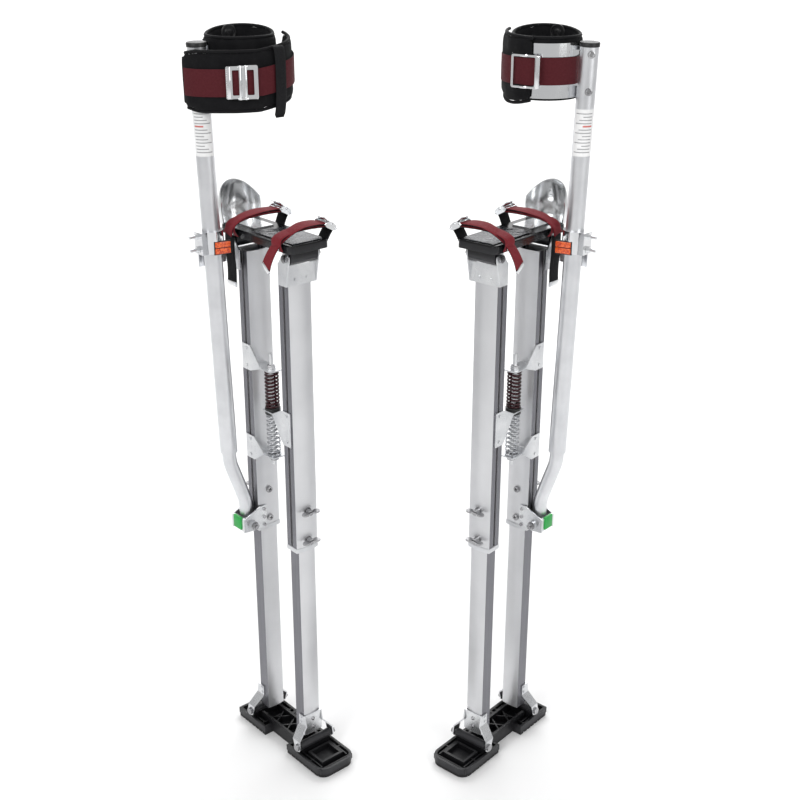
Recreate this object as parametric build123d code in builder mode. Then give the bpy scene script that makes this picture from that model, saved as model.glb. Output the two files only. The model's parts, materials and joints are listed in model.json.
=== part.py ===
"""A pair of height-adjustable drywall stilts, toed in towards each other.

Every piece is built once, on the right stilt, in the stilt's own frame: X points to the
inner side (towards the other stilt), the toe points along -Y and Z is up. The right
piece is then turned and moved to its place, and the left piece is its mirror image.
"""

import os
from math import cos, radians, sin

from build123d import *

os.makedirs("parts", exist_ok=True)

# Placing of the pair
TOE_IN = 41.1                # turn of each stilt about the vertical, degrees
STILT_X = 203.7              # distance of each stilt's centre from the middle of the pair
STILT_Y = 9.57               # puts the middle of the whole pair's depth at the origin

# Linkage: two parallel struts between four pivots
STRUT_Y = 58.5               # strut centre in front of and behind the stilt's centre
PIVOT_Y = 77.5               # ankle and foot-plate pivots, same spacing top and bottom
ANKLE_Z = 33.0
TOP_Z = 1003.0
BOLT_R = 4.0
PIN_GAP = 0.06               # radial play of a hinge pin
OPEN_GAP = 0.6               # radial play of the rear top pivot

# Struts: flat sides, two convex faces
UPPER_HALF_X = 23.5
UPPER_HALF_Y = 13.75
UPPER_BULGE = 3.3
BORE_HALF_X = 18.5
BORE_HALF_Y = 12.9
BORE_BULGE = 2.0
LOWER_HALF_X = 18.0
LOWER_HALF_Y = 12.4
LOWER_BULGE = 2.0
LOWER_WALL = 2.2
UPPER_BOTTOM = 457.0
UPPER_TOP = 988.0
LOWER_BOTTOM = 46.0
LOWER_TOP = 560.0
GROOVE = 4.0                 # width of the lengthwise groove in the upper struts' sides
GROOVE_DEPTH = 2.4
HOLE_PITCH = 25.4            # height-setting holes
UPPER_FACE = UPPER_HALF_Y + UPPER_BULGE
LOWER_FACE = LOWER_HALF_Y + LOWER_BULGE

# Sole
SOLE_TOE = 153.0
SOLE_HEEL = 118.0
SOLE_HALF_X = 41.3
WAIST_HALF_X = 22.0
NOTCH_FRONT = 42.0
NOTCH_BACK = 29.5
TREAD_TOP = 8.0
SOLE_TOP = 20.0
WAIST_TOP = 29.0
RIM = 5.0
RIB = 2.5
BARREL_R = 8.0
BARREL_HALF_X = 36.0

# Sheet-metal brackets
SHEET = 2.5
ANKLE_HALF_X = 41.0          # outside of the ankle bracket's ears at the pivot
EAR_NEAR = 18.15             # inside of the ears where they lie on the strut
ANKLE_LOW = 50.0
ANKLE_HIGH = 92.0
TOP_HALF_X = 32.0            # outside of the top bracket's ears
COLLAR_LOW = 954.0
COLLAR_HIGH = 989.0
RIVET_R = 3.0

# Foot plate and heel cup
PLATE_HALF_X = 40.0
PLATE_TOE = 105.0
PLATE_HEEL = 98.0
PLATE_LOW = 1016.0
PLATE_HIGH = 1030.0
LUG_R = 12.0
LUG_HALF_X = 28.0
CUP_Y = 89.0                 # centre of the heel's curve
CUP_R = 39.0
CUP_LOW = PLATE_HIGH + 0.3
CUP_HIGH = 1107.0
CUP_T = 2.0

# Sway springs on their rod
ROD_X = -13.0
ROD_R = 4.0
ROD_LOW = 600.0
ROD_HIGH = 812.0
COIL_R = 11.3                # radius to the middle of the wire
WIRE_R = 1.7
COIL_TURNS = 7
UPPER_SHELF = 781.0          # underside of the upper shelf
MIDDLE_SHELF = 704.0
LOWER_SHELF = 618.5          # top of the lower shelf
SEAT_R = 14.0
SEAT_T = 4.0
SEAT_GAP = 0.3

# Leg tube, leaning outwards
TUBE_Y = 60.0
TUBE_LOW = 621.0
TUBE_HIGH = 1335.0
TUBE_X_LOW = -71.0
TUBE_SLOPE = -0.028
TUBE_R = 15.5
TUBE_BORE_R = 13.0
INNER_R = 12.5
INNER_BORE_R = 10.5
CLEVIS_X = -40.0
CLEVIS_Z = 469.0
CLAMP_LOW = 996.0
CLAMP_HIGH = 1034.0
CLAMP_R = 20.0
ARM_Y = 88.2                 # arm from the clamp to the rear strut, clear of the bracket's ears

# Calf band
BAND_X = -11.8
BAND_Y = 55.0
PAD_IN = 49.0
PAD_OUT = 59.6
PAD_LOW = 1250.0
PAD_HIGH = 1346.0
PLATE_OUT = 62.0
CALF_PLATE_LOW = 1253.0
CALF_PLATE_HIGH = 1339.0
FLAP_T = 8.0                 # padded flap across the right band's front and leg tube
FLAP_LOW = 1246.0
FLAP_HIGH = 1332.0
FLAP_BACK = 120.0             # behind both ends of the flap
STRAP_LOW = 1278.0
STRAP_HIGH = 1320.0
STRAP_T = 2.2

# Foot straps
WEB_T = 2.5
WEB_WIDTH = 26.0
TOE_STRAP_Y = -80.0
INSTEP_STRAP_Y = 36.0
ARCH_HIGH = 1064.0

# Height screws
SCREW_Z = (471.0, 529.0)
SCREW_R = 3.0
HOME = Location((-STILT_X, STILT_Y, 0), (0, 0, TOE_IN))


def tube_x(z):
    """X of the leg tube's axis at a height."""
    return TUBE_X_LOW + TUBE_SLOPE * (z - TUBE_LOW)


def strut_outline(half_x, half_y, bulge):
    """Flat-sided outline with two convex faces, for the sketch around the call."""
    with BuildLine() as outline:
        ThreePointArc((-half_x, -half_y), (0, -half_y - bulge), (half_x, -half_y))
        Line((half_x, -half_y), (half_x, half_y))
        ThreePointArc((half_x, half_y), (0, half_y + bulge), (-half_x, half_y))
        Line((-half_x, half_y), (-half_x, -half_y))
    make_face(outline.edges())


def box_between(x0, x1, y0, y1, z0, z1, mode=Mode.ADD):
    """Box between two corners, for the part around the call."""
    with Locations(((x0 + x1) / 2, (y0 + y1) / 2, (z0 + z1) / 2)):
        Box(abs(x1 - x0), abs(y1 - y0), abs(z1 - z0), mode=mode)


def rod_x(x0, x1, y, z, radius, mode=Mode.ADD):
    """Round bar along X, for the part around the call."""
    with Locations(Location(((x0 + x1) / 2, y, z), (0, 90, 0))):
        Cylinder(radius, abs(x1 - x0), mode=mode)


def rod_y(x, y0, y1, z, radius, mode=Mode.ADD):
    """Round bar along Y, for the part around the call."""
    with Locations(Location((x, (y0 + y1) / 2, z), (90, 0, 0))):
        Cylinder(radius, abs(y1 - y0), mode=mode)


def hex_x(x0, x1, y, z, across):
    """Hexagonal nut or bolt head along X."""
    with BuildSketch(Plane.YZ.offset(min(x0, x1))) as hexagon:
        with Locations((y, z)):
            RegularPolygon(across / 2, 6, major_radius=False)
    extrude(hexagon.sketch, amount=abs(x1 - x0))


def export_pair(piece, name):
    """Write the piece on the right stilt and its mirror image on the left one."""
    right = HOME * piece.part
    write_piece(right, f"right_{name}")
    write_piece(mirror(right, Plane.YZ), f"left_{name}")


def write_piece(solid, label):
    solid.label = label
    export_step(solid, f"parts/{label}.step")


# ---------------------------------------------------------------- sole


def sole_sketch():
    """Shoe-like outline with a notch on each side of the waist."""
    with Locations((0, (SOLE_HEEL - SOLE_TOE) / 2)):
        outline = Rectangle(2 * SOLE_HALF_X, SOLE_TOE + SOLE_HEEL)
    corners = outline.vertices().group_by(Axis.Y)
    fillet(corners[0], 20)
    fillet(corners[-1], 17)
    notch_x = SOLE_HALF_X - WAIST_HALF_X
    for side in (-1, 1):
        with Locations((side * SOLE_HALF_X, (NOTCH_BACK - NOTCH_FRONT) / 2)):
            Rectangle(2 * notch_x, NOTCH_FRONT + NOTCH_BACK, mode=Mode.SUBTRACT)


with BuildPart() as sole_tread:
    with BuildSketch():
        sole_sketch()
        offset(amount=-1.0, mode=Mode.REPLACE)
    extrude(amount=TREAD_TOP)
    fillet(sole_tread.edges().group_by(Axis.Z)[0].filter_by(GeomType.LINE).sort_by(Axis.Y)[0], 1.0)
    # Grooves across the tread's toe and heel
    groove_rows = [-138 + 12 * row for row in range(8)] + [42 + 12 * row for row in range(6)]
    for groove_y in groove_rows:
        box_between(-50, 50, groove_y - 1.5, groove_y + 1.5, -1, 2.5, mode=Mode.SUBTRACT)

with BuildPart() as sole_frame:
    with BuildSketch(Plane.XY.offset(TREAD_TOP)):
        sole_sketch()
    extrude(amount=SOLE_TOP - TREAD_TOP)
    # Pocket inside the rim, down to a thin floor
    with BuildSketch(Plane.XY.offset(TREAD_TOP + 3)):
        sole_sketch()
        offset(amount=-RIM, mode=Mode.REPLACE)
    extrude(amount=SOLE_TOP - TREAD_TOP, mode=Mode.SUBTRACT)
    # Waist beam: two raised walls between the pivots with crossed ribs
    for side in (-1, 1):
        box_between(side * (WAIST_HALF_X - 5), side * WAIST_HALF_X, -68, 68, TREAD_TOP, WAIST_TOP)
    for turn in (-32, 32):
        for centre in (-34, 0, 34):
            with Locations(Location((0, centre, (TREAD_TOP + 24) / 2), (0, 0, turn))):
                Box(39, RIB, 24 - TREAD_TOP)
    # Cross ribs in the toe and heel
    for rib_y in (-146, -112, -56, 44, 94):
        box_between(-SOLE_HALF_X + 3, SOLE_HALF_X - 3, rib_y, rib_y + RIB, TREAD_TOP, SOLE_TOP - 1)
    for rib_x in (-30, 30):
        box_between(rib_x - RIB / 2, rib_x + RIB / 2, -140, -58, TREAD_TOP, SOLE_TOP - 1)
        box_between(rib_x - RIB / 2, rib_x + RIB / 2, 46, 106, TREAD_TOP, SOLE_TOP - 1)
    # Toe tray in front of the front pivot
    box_between(-25, 25, -134, -90, TREAD_TOP, SOLE_TOP + 3)
    box_between(-20, 20, -129, -95, TREAD_TOP + 5, SOLE_TOP + 4, mode=Mode.SUBTRACT)
    # Pivot barrels on their pedestals
    for pivot_y in (-PIVOT_Y, PIVOT_Y):
        box_between(-34, 34, pivot_y - 5, pivot_y + 5, TREAD_TOP, ANKLE_Z)
        rod_x(-BARREL_HALF_X, BARREL_HALF_X, pivot_y, ANKLE_Z, BARREL_R)
        rod_x(-50, 50, pivot_y, ANKLE_Z, BOLT_R, mode=Mode.SUBTRACT)

with BuildPart() as ankle_bolts:
    for pivot_y in (-PIVOT_Y, PIVOT_Y):
        rod_x(-ANKLE_HALF_X - 2, ANKLE_HALF_X + 6, pivot_y, ANKLE_Z, BOLT_R)
        rod_x(-ANKLE_HALF_X - 3.3, -ANKLE_HALF_X - 0.3, pivot_y, ANKLE_Z, 7)
        hex_x(ANKLE_HALF_X + 0.3, ANKLE_HALF_X + 5.3, pivot_y, ANKLE_Z, 12)

# ---------------------------------------------------------------- lower struts


def make_lower_strut(y):
    """Hollow lower strut with a row of height-setting holes in its rear face."""
    with BuildPart() as strut:
        with BuildSketch(Plane((0, y, LOWER_BOTTOM))):
            strut_outline(LOWER_HALF_X, LOWER_HALF_Y, LOWER_BULGE)
        extrude(amount=LOWER_TOP - LOWER_BOTTOM)
        with BuildSketch(Plane((0, y, LOWER_BOTTOM))):
            strut_outline(LOWER_HALF_X - LOWER_WALL, LOWER_HALF_Y - LOWER_WALL, LOWER_BULGE)
        extrude(amount=LOWER_TOP - LOWER_BOTTOM, mode=Mode.SUBTRACT)
        for row in range(15):
            hole_z = 115 + HOLE_PITCH * row
            rod_y(0, y + 8, y + 20, hole_z, SCREW_R + 0.5, mode=Mode.SUBTRACT)
    return strut


def ear_band(sign):
    """Folded sheet seen from the front: flat on the strut's side, then splayed to the pivot."""
    near = sign * EAR_NEAR
    near_out = sign * (EAR_NEAR + SHEET)
    far_out = sign * ANKLE_HALF_X
    far = sign * (ANKLE_HALF_X - SHEET)
    with BuildLine() as outline:
        Polyline(
            (far, 20),
            (far, 47),
            (near, 70),
            (near, ANKLE_HIGH),
            (near_out, ANKLE_HIGH),
            (near_out, 71),
            (far_out, 48),
            (far_out, 20),
            close=True,
        )
    make_face(outline.edges())


def make_ankle_bracket(side):
    """Riveted web with two ears that lie on the strut's sides and splay to the ankle pivot."""
    face = side * (STRUT_Y + LOWER_FACE)
    outer = face + side * SHEET
    pivot_y = side * PIVOT_Y
    near_out = EAR_NEAR + SHEET
    with BuildPart() as bracket:
        with BuildSketch(Plane.XZ) as bands:
            ear_band(-1)
            ear_band(1)
        extrude(bands.sketch, amount=100, both=True)
        with BuildSketch(Plane.YZ.offset(-50)) as profile:
            with Locations((pivot_y, ANKLE_Z)):
                Circle(9)
            with Locations((side * (STRUT_Y + 7) + (outer - face) / 2, (66 + ANKLE_HIGH) / 2)):
                Rectangle(2 * LOWER_FACE - 14 + SHEET, ANKLE_HIGH - 66)
            make_hull()
            with Locations((pivot_y, ANKLE_Z)):
                Circle(BOLT_R + PIN_GAP, mode=Mode.SUBTRACT)
        extrude(profile.sketch, amount=100, mode=Mode.INTERSECT)
        box_between(-near_out, near_out, face, outer, ANKLE_LOW, ANKLE_HIGH)
        for rivet_z in (62, 80):
            rod_y(0, face, outer + side * 1.8, rivet_z, RIVET_R)
        for rivet_z in (76, 87):
            rod_x(near_out - 1, near_out + 1.5, side * 64, rivet_z, 2.4)
            rod_x(-near_out - 1.5, -near_out + 1, side * 64, rivet_z, 2.4)
    return bracket


front_lower_strut = make_lower_strut(-STRUT_Y)
rear_lower_strut = make_lower_strut(STRUT_Y)
front_ankle_bracket = make_ankle_bracket(-1)
rear_ankle_bracket = make_ankle_bracket(1)

# ---------------------------------------------------------------- upper struts


def make_upper_strut(y):
    """Hollow upper strut, grooved down both sides, drilled for the height screws."""
    side = -1 if y < 0 else 1
    with BuildPart() as strut:
        with BuildSketch(Plane((0, y, UPPER_BOTTOM))):
            strut_outline(UPPER_HALF_X, UPPER_HALF_Y, UPPER_BULGE)
        extrude(amount=UPPER_TOP - UPPER_BOTTOM)
        with BuildSketch(Plane((0, y, UPPER_BOTTOM))):
            strut_outline(BORE_HALF_X, BORE_HALF_Y, BORE_BULGE)
        extrude(amount=UPPER_TOP - UPPER_BOTTOM, mode=Mode.SUBTRACT)
        for groove_x in (-UPPER_HALF_X, UPPER_HALF_X):
            with Locations((groove_x, y, (UPPER_BOTTOM + UPPER_TOP) / 2)):
                Box(2 * GROOVE_DEPTH, GROOVE, UPPER_TOP - UPPER_BOTTOM, mode=Mode.SUBTRACT)
        for screw_z in SCREW_Z:
            rod_y(0, y + side * 10, y + side * 25, screw_z, SCREW_R + PIN_GAP, mode=Mode.SUBTRACT)
    return strut


def make_top_bracket(side, pin_gap):
    """Collar web on the strut's outer face with two ears up to the foot-plate pivot."""
    face = side * (STRUT_Y + UPPER_FACE)
    outer = face + side * SHEET
    pivot_y = side * PIVOT_Y
    with BuildPart() as bracket:
        box_between(-TOP_HALF_X, TOP_HALF_X, face, outer, COLLAR_LOW, COLLAR_HIGH)
        for ear_x in (-TOP_HALF_X, TOP_HALF_X - SHEET):
            with BuildSketch(Plane.YZ.offset(ear_x)):
                with Locations((pivot_y, TOP_Z)):
                    Circle(10)
                with Locations((side * 67, (COLLAR_LOW + COLLAR_HIGH) / 2)):
                    Rectangle(22, COLLAR_HIGH - COLLAR_LOW)
                make_hull()
                with Locations((pivot_y, TOP_Z)):
                    Circle(BOLT_R + pin_gap, mode=Mode.SUBTRACT)
            extrude(amount=SHEET)
        for rivet_x in (-12, 12):
            rod_y(rivet_x, face, outer + side * 1.8, COLLAR_LOW + 10, RIVET_R)
    return bracket


def make_wing_screw(side, z):
    """Clamping screw with two wings on the strut's outer face."""
    face = side * (STRUT_Y + UPPER_FACE)
    tip = side * (STRUT_Y + BORE_HALF_Y + BORE_BULGE)
    with BuildPart() as screw:
        rod_y(0, tip, face + side * 3, z, SCREW_R)
        rod_y(0, face + side * 0.3, face + side * 1.8, z, 7)
        rod_y(0, face + side * 1.8, face + side * 12, z, 5.6)
        with BuildSketch(Plane((0, face + side * 11, z - 1.5))):
            with Locations((-11.5, 0), (11.5, 0)):
                Ellipse(7.5, 6)
            Rectangle(16, 6)
        extrude(amount=3)
    return screw


front_upper_strut = make_upper_strut(-STRUT_Y)
rear_upper_strut = make_upper_strut(STRUT_Y)
front_top_bracket = make_top_bracket(-1, PIN_GAP)
rear_top_bracket = make_top_bracket(1, OPEN_GAP)

# ---------------------------------------------------------------- sway springs


def shelf_bracket(side, shelf_z, flange_low, flange_high, reach):
    """Flange on a strut's outer side with a shelf that reaches to the rod."""
    flange_x = -UPPER_HALF_X
    strut_in = side * (STRUT_Y - 12)
    strut_out = side * (STRUT_Y + 10)
    box_between(flange_x - SHEET, flange_x, strut_in, strut_out, flange_low, flange_high)
    shelf_end = side * -reach
    # Gusset from the flange to the shelf, stopping short of the coils
    with BuildSketch(Plane.YZ.offset(flange_x - SHEET)) as gusset:
        with Locations((strut_in, (flange_low + flange_high) / 2)):
            Rectangle(2, flange_high - flange_low)
        with Locations((side * (STRUT_Y - 12 + 16) / 2, shelf_z + SHEET / 2)):
            Rectangle(STRUT_Y - 12 - 16, SHEET)
        make_hull()
    extrude(gusset.sketch, amount=SHEET)
    box_between(flange_x - SHEET, ROD_X + 15, side * 38, shelf_end, shelf_z, shelf_z + SHEET)
    for rivet_z in (flange_low + 8, flange_high - 8):
        rod_x(flange_x - SHEET - 1.6, flange_x, side * (STRUT_Y - 2), rivet_z, RIVET_R)


def bolt_heads(side):
    """Round heads of the height screws' backing bolts, on the strut's inward face."""
    inward = side * (STRUT_Y - UPPER_FACE)
    for head_z in SCREW_Z:
        rod_y(0, inward, inward - side * 3, head_z, 6)


with BuildPart() as middle_spring_bracket:
    shelf_bracket(-1, MIDDLE_SHELF, 657, 722, 14)
    # Slot for the rod, long enough for the struts' swing
    with BuildSketch(Plane.XY.offset(MIDDLE_SHELF - 1)):
        with Locations((ROD_X, 0)):
            SlotOverall(18, 2 * ROD_R + 3, rotation=90)
    extrude(amount=SHEET + 2, mode=Mode.SUBTRACT)
    bolt_heads(-1)

with BuildPart() as spring_rod:
    shelf_bracket(1, UPPER_SHELF, 770, 818, 14)
    shelf_bracket(1, LOWER_SHELF - SHEET, 596, 642, 14)
    with Locations((ROD_X, 0, (ROD_LOW + ROD_HIGH) / 2)):
        Cylinder(ROD_R, ROD_HIGH - ROD_LOW)
    # Nuts above the upper shelf and below the lower one
    for nut_z in (UPPER_SHELF + SHEET, LOWER_SHELF - SHEET - 7):
        with BuildSketch(Plane((ROD_X, 0, nut_z))):
            RegularPolygon(6.5, 6, major_radius=False)
        extrude(amount=7)

with BuildPart() as spring_seat:
    for seat_z in (MIDDLE_SHELF + SHEET + SEAT_GAP, MIDDLE_SHELF - SEAT_GAP - SEAT_T):
        with Locations((ROD_X, 0, seat_z + SEAT_T / 2)):
            Cylinder(SEAT_R, SEAT_T)
            Cylinder(ROD_R + 0.35, SEAT_T, mode=Mode.SUBTRACT)

UPPER_COIL_LOW = MIDDLE_SHELF + SHEET + SEAT_GAP + SEAT_T
LOWER_COIL_HIGH = MIDDLE_SHELF - SEAT_GAP - SEAT_T

with BuildPart() as sway_springs:
    for coil_low, coil_high in ((UPPER_COIL_LOW, UPPER_SHELF), (LOWER_SHELF, LOWER_COIL_HIGH)):
        coil_z = coil_low + WIRE_R + 0.1
        coil_height = coil_high - coil_low - 2 * WIRE_R - 0.2
        with BuildLine() as coil:
            Helix(coil_height / COIL_TURNS, coil_height, COIL_R, center=(ROD_X, 0, coil_z))
        with BuildSketch(Plane(coil.line @ 0, z_dir=coil.line % 0)):
            Circle(WIRE_R)
        sweep(path=coil.line)

# ---------------------------------------------------------------- leg tube

with BuildPart() as leg_tube_bracket:
    for side_y in (STRUT_Y - UPPER_FACE - SHEET, STRUT_Y + UPPER_FACE):
        with BuildSketch(Plane.XZ.offset(-side_y - SHEET)) as cheek:
            with Locations((-16, 478)):
                Rectangle(14, 44)
            with Locations((CLEVIS_X, CLEVIS_Z)):
                Circle(13)
            with Locations((-56, CLEVIS_Z + 2)):
                Rectangle(8, 26)
            make_hull()
        extrude(amount=SHEET)
    for rivet_z in (493, 477, 461):
        rod_y(-14, STRUT_Y - UPPER_FACE - SHEET - 1.8, STRUT_Y - UPPER_FACE, rivet_z, RIVET_R)
    rod_y(CLEVIS_X, 36, 81, CLEVIS_Z, BOLT_R)
    for head_y in (34, 78.05):
        rod_y(CLEVIS_X, head_y, head_y + 5, CLEVIS_Z, 7)
    # End block between the cheeks
    box_between(-60, -55, STRUT_Y - UPPER_FACE, STRUT_Y + UPPER_FACE, 460, 485)
    bolt_heads(1)

with BuildPart() as lower_leg_tube:
    with BuildLine() as bent:
        FilletPolyline(
            (tube_x(900), TUBE_Y, 900),
            (tube_x(600), TUBE_Y, 600),
            (CLEVIS_X, TUBE_Y, 512),
            (CLEVIS_X, TUBE_Y, 457),
            radius=80,
        )
    with BuildSketch(Plane(bent.line @ 0, z_dir=bent.line % 0)):
        Circle(INNER_R)
        Circle(INNER_BORE_R, mode=Mode.SUBTRACT)
    sweep(path=bent.line)
    rod_y(CLEVIS_X, 30, 90, CLEVIS_Z, BOLT_R, mode=Mode.SUBTRACT)

tube_axis = Vector(TUBE_SLOPE, 0, 1).normalized()

with BuildPart() as upper_leg_tube:
    with BuildSketch(Plane((tube_x(TUBE_LOW), TUBE_Y, TUBE_LOW), z_dir=tube_axis)):
        Circle(TUBE_R)
        Circle(TUBE_BORE_R, mode=Mode.SUBTRACT)
    extrude(amount=TUBE_HIGH - TUBE_LOW)
    with BuildSketch(Plane((tube_x(TUBE_HIGH), TUBE_Y, TUBE_HIGH), z_dir=tube_axis)):
        Circle(TUBE_R)
    extrude(amount=4)

clamp_x = tube_x((CLAMP_LOW + CLAMP_HIGH) / 2)

with BuildPart() as tube_clamp:
    with BuildSketch(Plane((tube_x(CLAMP_LOW), TUBE_Y, CLAMP_LOW), z_dir=tube_axis)):
        Circle(CLAMP_R)
        with Locations((-20, 0)):
            Rectangle(14, 24)
    extrude(amount=CLAMP_HIGH - CLAMP_LOW)
    # Arm behind the rear strut's top bracket and its riser up to the ring
    web_y = STRUT_Y + UPPER_FACE + SHEET
    box_between(-7, 7, web_y, ARM_Y, 967, 983)
    box_between(-92, 9, ARM_Y, ARM_Y + SHEET, 964, 986)
    box_between(-92, -70, ARM_Y, ARM_Y + SHEET, 964, CLAMP_HIGH - 4)
    box_between(-92, -70, TUBE_Y + 16, ARM_Y + SHEET, CLAMP_LOW + 2, CLAMP_HIGH - 4)
    with BuildSketch(Plane((tube_x(900), TUBE_Y, 900), z_dir=tube_axis)):
        Circle(TUBE_R + 0.4)
    extrude(amount=200, mode=Mode.SUBTRACT)
    for bolt_z in (1004, 1027):
        rod_x(clamp_x - 44, clamp_x - CLAMP_R + 1, TUBE_Y, bolt_z, 3)
        hex_x(clamp_x - 32, clamp_x - 27, TUBE_Y, bolt_z, 10)

# ---------------------------------------------------------------- calf band


def band_arc(inner, outer, low, high, start, sweep_angle):
    """Part of a ring round the calf, from a start angle, for the part around the call."""
    with BuildSketch(Plane((BAND_X, BAND_Y, low))) as arc:
        with BuildLine():
            outside = CenterArc((0, 0), outer, start, sweep_angle)
            inside = CenterArc((0, 0), inner, start, sweep_angle)
            Line(outside @ 0, inside @ 0)
            Line(outside @ 1, inside @ 1)
        make_face()
    extrude(arc.sketch, amount=high - low)


def make_calf_plate(start):
    """Curved metal plate with its block against the leg tube."""
    with BuildPart() as plate:
        band_arc(PAD_OUT, PLATE_OUT, CALF_PLATE_LOW, CALF_PLATE_HIGH, start, 160)
        box_between(-84, -70, TUBE_Y - 13, TUBE_Y + 13, 1272, 1328)
        with BuildSketch(Plane((BAND_X, BAND_Y, 1200))):
            Circle(PAD_OUT)
        extrude(amount=160, mode=Mode.SUBTRACT)
        with BuildSketch(Plane((tube_x(1200), TUBE_Y, 1200), z_dir=tube_axis)):
            Circle(TUBE_R)
        extrude(amount=160, mode=Mode.SUBTRACT)
    return plate


def make_calf_strap(buckle_angle):
    """Webbing round the band, open at the leg tube, with its two-part buckle."""
    with BuildPart() as strap:
        inner = PLATE_OUT + 0.2
        band_arc(inner, inner + STRAP_T, STRAP_LOW, STRAP_HIGH, 206, 308)
        outer = inner + STRAP_T + 0.2
        for shift in (-9, 9):
            angle = radians(buckle_angle + shift)
            spot = (BAND_X + (outer + 2) * cos(angle), BAND_Y + (outer + 2) * sin(angle), 1299)
            with Locations(Location(spot, (0, 0, buckle_angle + shift))):
                Box(4, 16, 52)
                Box(5, 9, 44, mode=Mode.SUBTRACT)
    return strap


def pad_ring():
    """Padded ring round the calf, with rounded rims."""
    with BuildSketch(Plane((BAND_X, BAND_Y, PAD_LOW))) as ring:
        Circle(PAD_OUT)
        Circle(PAD_IN, mode=Mode.SUBTRACT)
    solid = extrude(ring.sketch, amount=PAD_HIGH - PAD_LOW)
    fillet(solid.edges().filter_by(GeomType.CIRCLE), 4)


def flap_section(shift, behind, mode):
    """Plan from the flap's outer or inner face back to some points, for the sketch around."""
    with BuildLine() as outline:
        Spline(
            (-109 - shift, 66),
            (-103 - shift * 0.8, 38 - shift * 0.6),
            (-68 - shift * 0.6, -1 - shift * 0.8),
            (-10, -24 - shift),
            (36 + shift * 0.5, -15 - shift * 0.8),
            (64 + shift, 34),
        )
        Polyline((64 + shift, 34), *behind, (-109 - shift, 66))
    make_face(outline.edges(), mode=mode)


with BuildPart() as left_calf_pad:
    pad_ring()

with BuildPart() as right_calf_pad:
    pad_ring()
    # Flap that closes the band in front, sewn to the ring by a web below the strap
    with BuildSketch(Plane.XY.offset(FLAP_LOW)):
        flap_section(FLAP_T, (), Mode.ADD)
        flap_section(0, ((64, FLAP_BACK), (-109, FLAP_BACK)), Mode.SUBTRACT)
    extrude(amount=FLAP_HIGH - FLAP_LOW)
    box_between(38, 66, 27, 34, FLAP_LOW, STRAP_LOW - 1)

# ---------------------------------------------------------------- foot plate

with BuildPart() as footplate:
    plate_mid = (PLATE_HEEL - PLATE_TOE) / 2
    plate_length = PLATE_TOE + PLATE_HEEL
    with BuildSketch(Plane((0, plate_mid, PLATE_LOW))):
        RectangleRounded(2 * PLATE_HALF_X, plate_length, 9)
    extrude(amount=PLATE_HIGH - PLATE_LOW)
    fillet(footplate.edges().group_by(Axis.Z)[-1], 2.5)
    # Hollow underside with ribs
    with BuildSketch(Plane((0, plate_mid, PLATE_LOW))):
        RectangleRounded(2 * PLATE_HALF_X - 10, plate_length - 10, 5)
    extrude(amount=PLATE_HIGH - PLATE_LOW - 7, mode=Mode.SUBTRACT)
    for rib_y in (-40, 0, 40):
        box_between(-37, 37, rib_y - 1.5, rib_y + 1.5, PLATE_LOW + 2, PLATE_HIGH - 5)
    box_between(-1.5, 1.5, -100, 94, PLATE_LOW + 2, PLATE_HIGH - 5)
    for pivot_y in (-PIVOT_Y, PIVOT_Y):
        box_between(-LUG_HALF_X, LUG_HALF_X, pivot_y - 12, pivot_y + 12, TOP_Z, PLATE_HIGH - 4)
        rod_x(-LUG_HALF_X, LUG_HALF_X, pivot_y, TOP_Z, LUG_R)
        rod_x(-50, 50, pivot_y, TOP_Z, BOLT_R, mode=Mode.SUBTRACT)
    # Grip ridges across the top
    for ridge_y in range(-90, -9, 10):
        box_between(-30, 30, ridge_y - 1, ridge_y + 1, PLATE_HIGH - 1, PLATE_HIGH + 0.8)

with BuildPart() as footplate_bolts:
    for pivot_y in (-PIVOT_Y, PIVOT_Y):
        rod_x(-TOP_HALF_X - 2, TOP_HALF_X + 5, pivot_y, TOP_Z, BOLT_R)
        rod_x(-TOP_HALF_X - 4, -TOP_HALF_X - 0.3, pivot_y, TOP_Z, 6.8)
        hex_x(TOP_HALF_X + 0.3, TOP_HALF_X + 5, pivot_y, TOP_Z, 12)


def cup_section(radius, low, mode):
    """Half section of the heel cup's dome out to a radius, for the sketch around the call."""
    with BuildLine() as outline:
        Line((0, low), (radius, low))
        Spline(
            (radius, low),
            (radius + 2.5, low + 22),
            (radius - 2, low + 50),
            (radius - 20, CUP_HIGH),
            tangents=((0, 1), (-1, 0.7)),
        )
        Line((radius - 20, CUP_HIGH), (0, CUP_HIGH))
        Line((0, CUP_HIGH), (0, low))
    make_face(outline.edges(), mode=mode)


with BuildPart() as heel_cup:
    # Domed wall behind the heel
    with BuildSketch(Plane((0, CUP_Y, 0), x_dir=(1, 0, 0), z_dir=(0, -1, 0))) as wall:
        cup_section(CUP_R, CUP_LOW, Mode.ADD)
        cup_section(CUP_R - CUP_T, CUP_LOW, Mode.SUBTRACT)
    revolve(axis=Axis((0, CUP_Y, 0), (0, 0, 1)), revolution_arc=180)
    # The upper edge rises from the sides to the back
    with BuildSketch(Plane.YZ.offset(-60)):
        with BuildLine():
            ThreePointArc((CUP_Y - 60, 1038), (CUP_Y + 4, 1071), (CUP_Y + 34, 1109))
            Line((CUP_Y + 34, 1109), (CUP_Y + 34, 1120))
            Line((CUP_Y + 34, 1120), (CUP_Y - 60, 1120))
            Line((CUP_Y - 60, 1120), (CUP_Y - 60, 1038))
        make_face()
    extrude(amount=120, mode=Mode.SUBTRACT)
    # Floor and the tongue that slides along the foot plate
    with BuildSketch(Plane((0, CUP_Y, CUP_LOW))):
        Circle(CUP_R)
        with Locations((0, -CUP_R)):
            Rectangle(2 * CUP_R + 2, 2 * CUP_R, mode=Mode.SUBTRACT)
    extrude(amount=2.2)
    box_between(-20, 20, CUP_Y - 66, CUP_Y + 4, CUP_LOW, CUP_LOW + 2.2)


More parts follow.
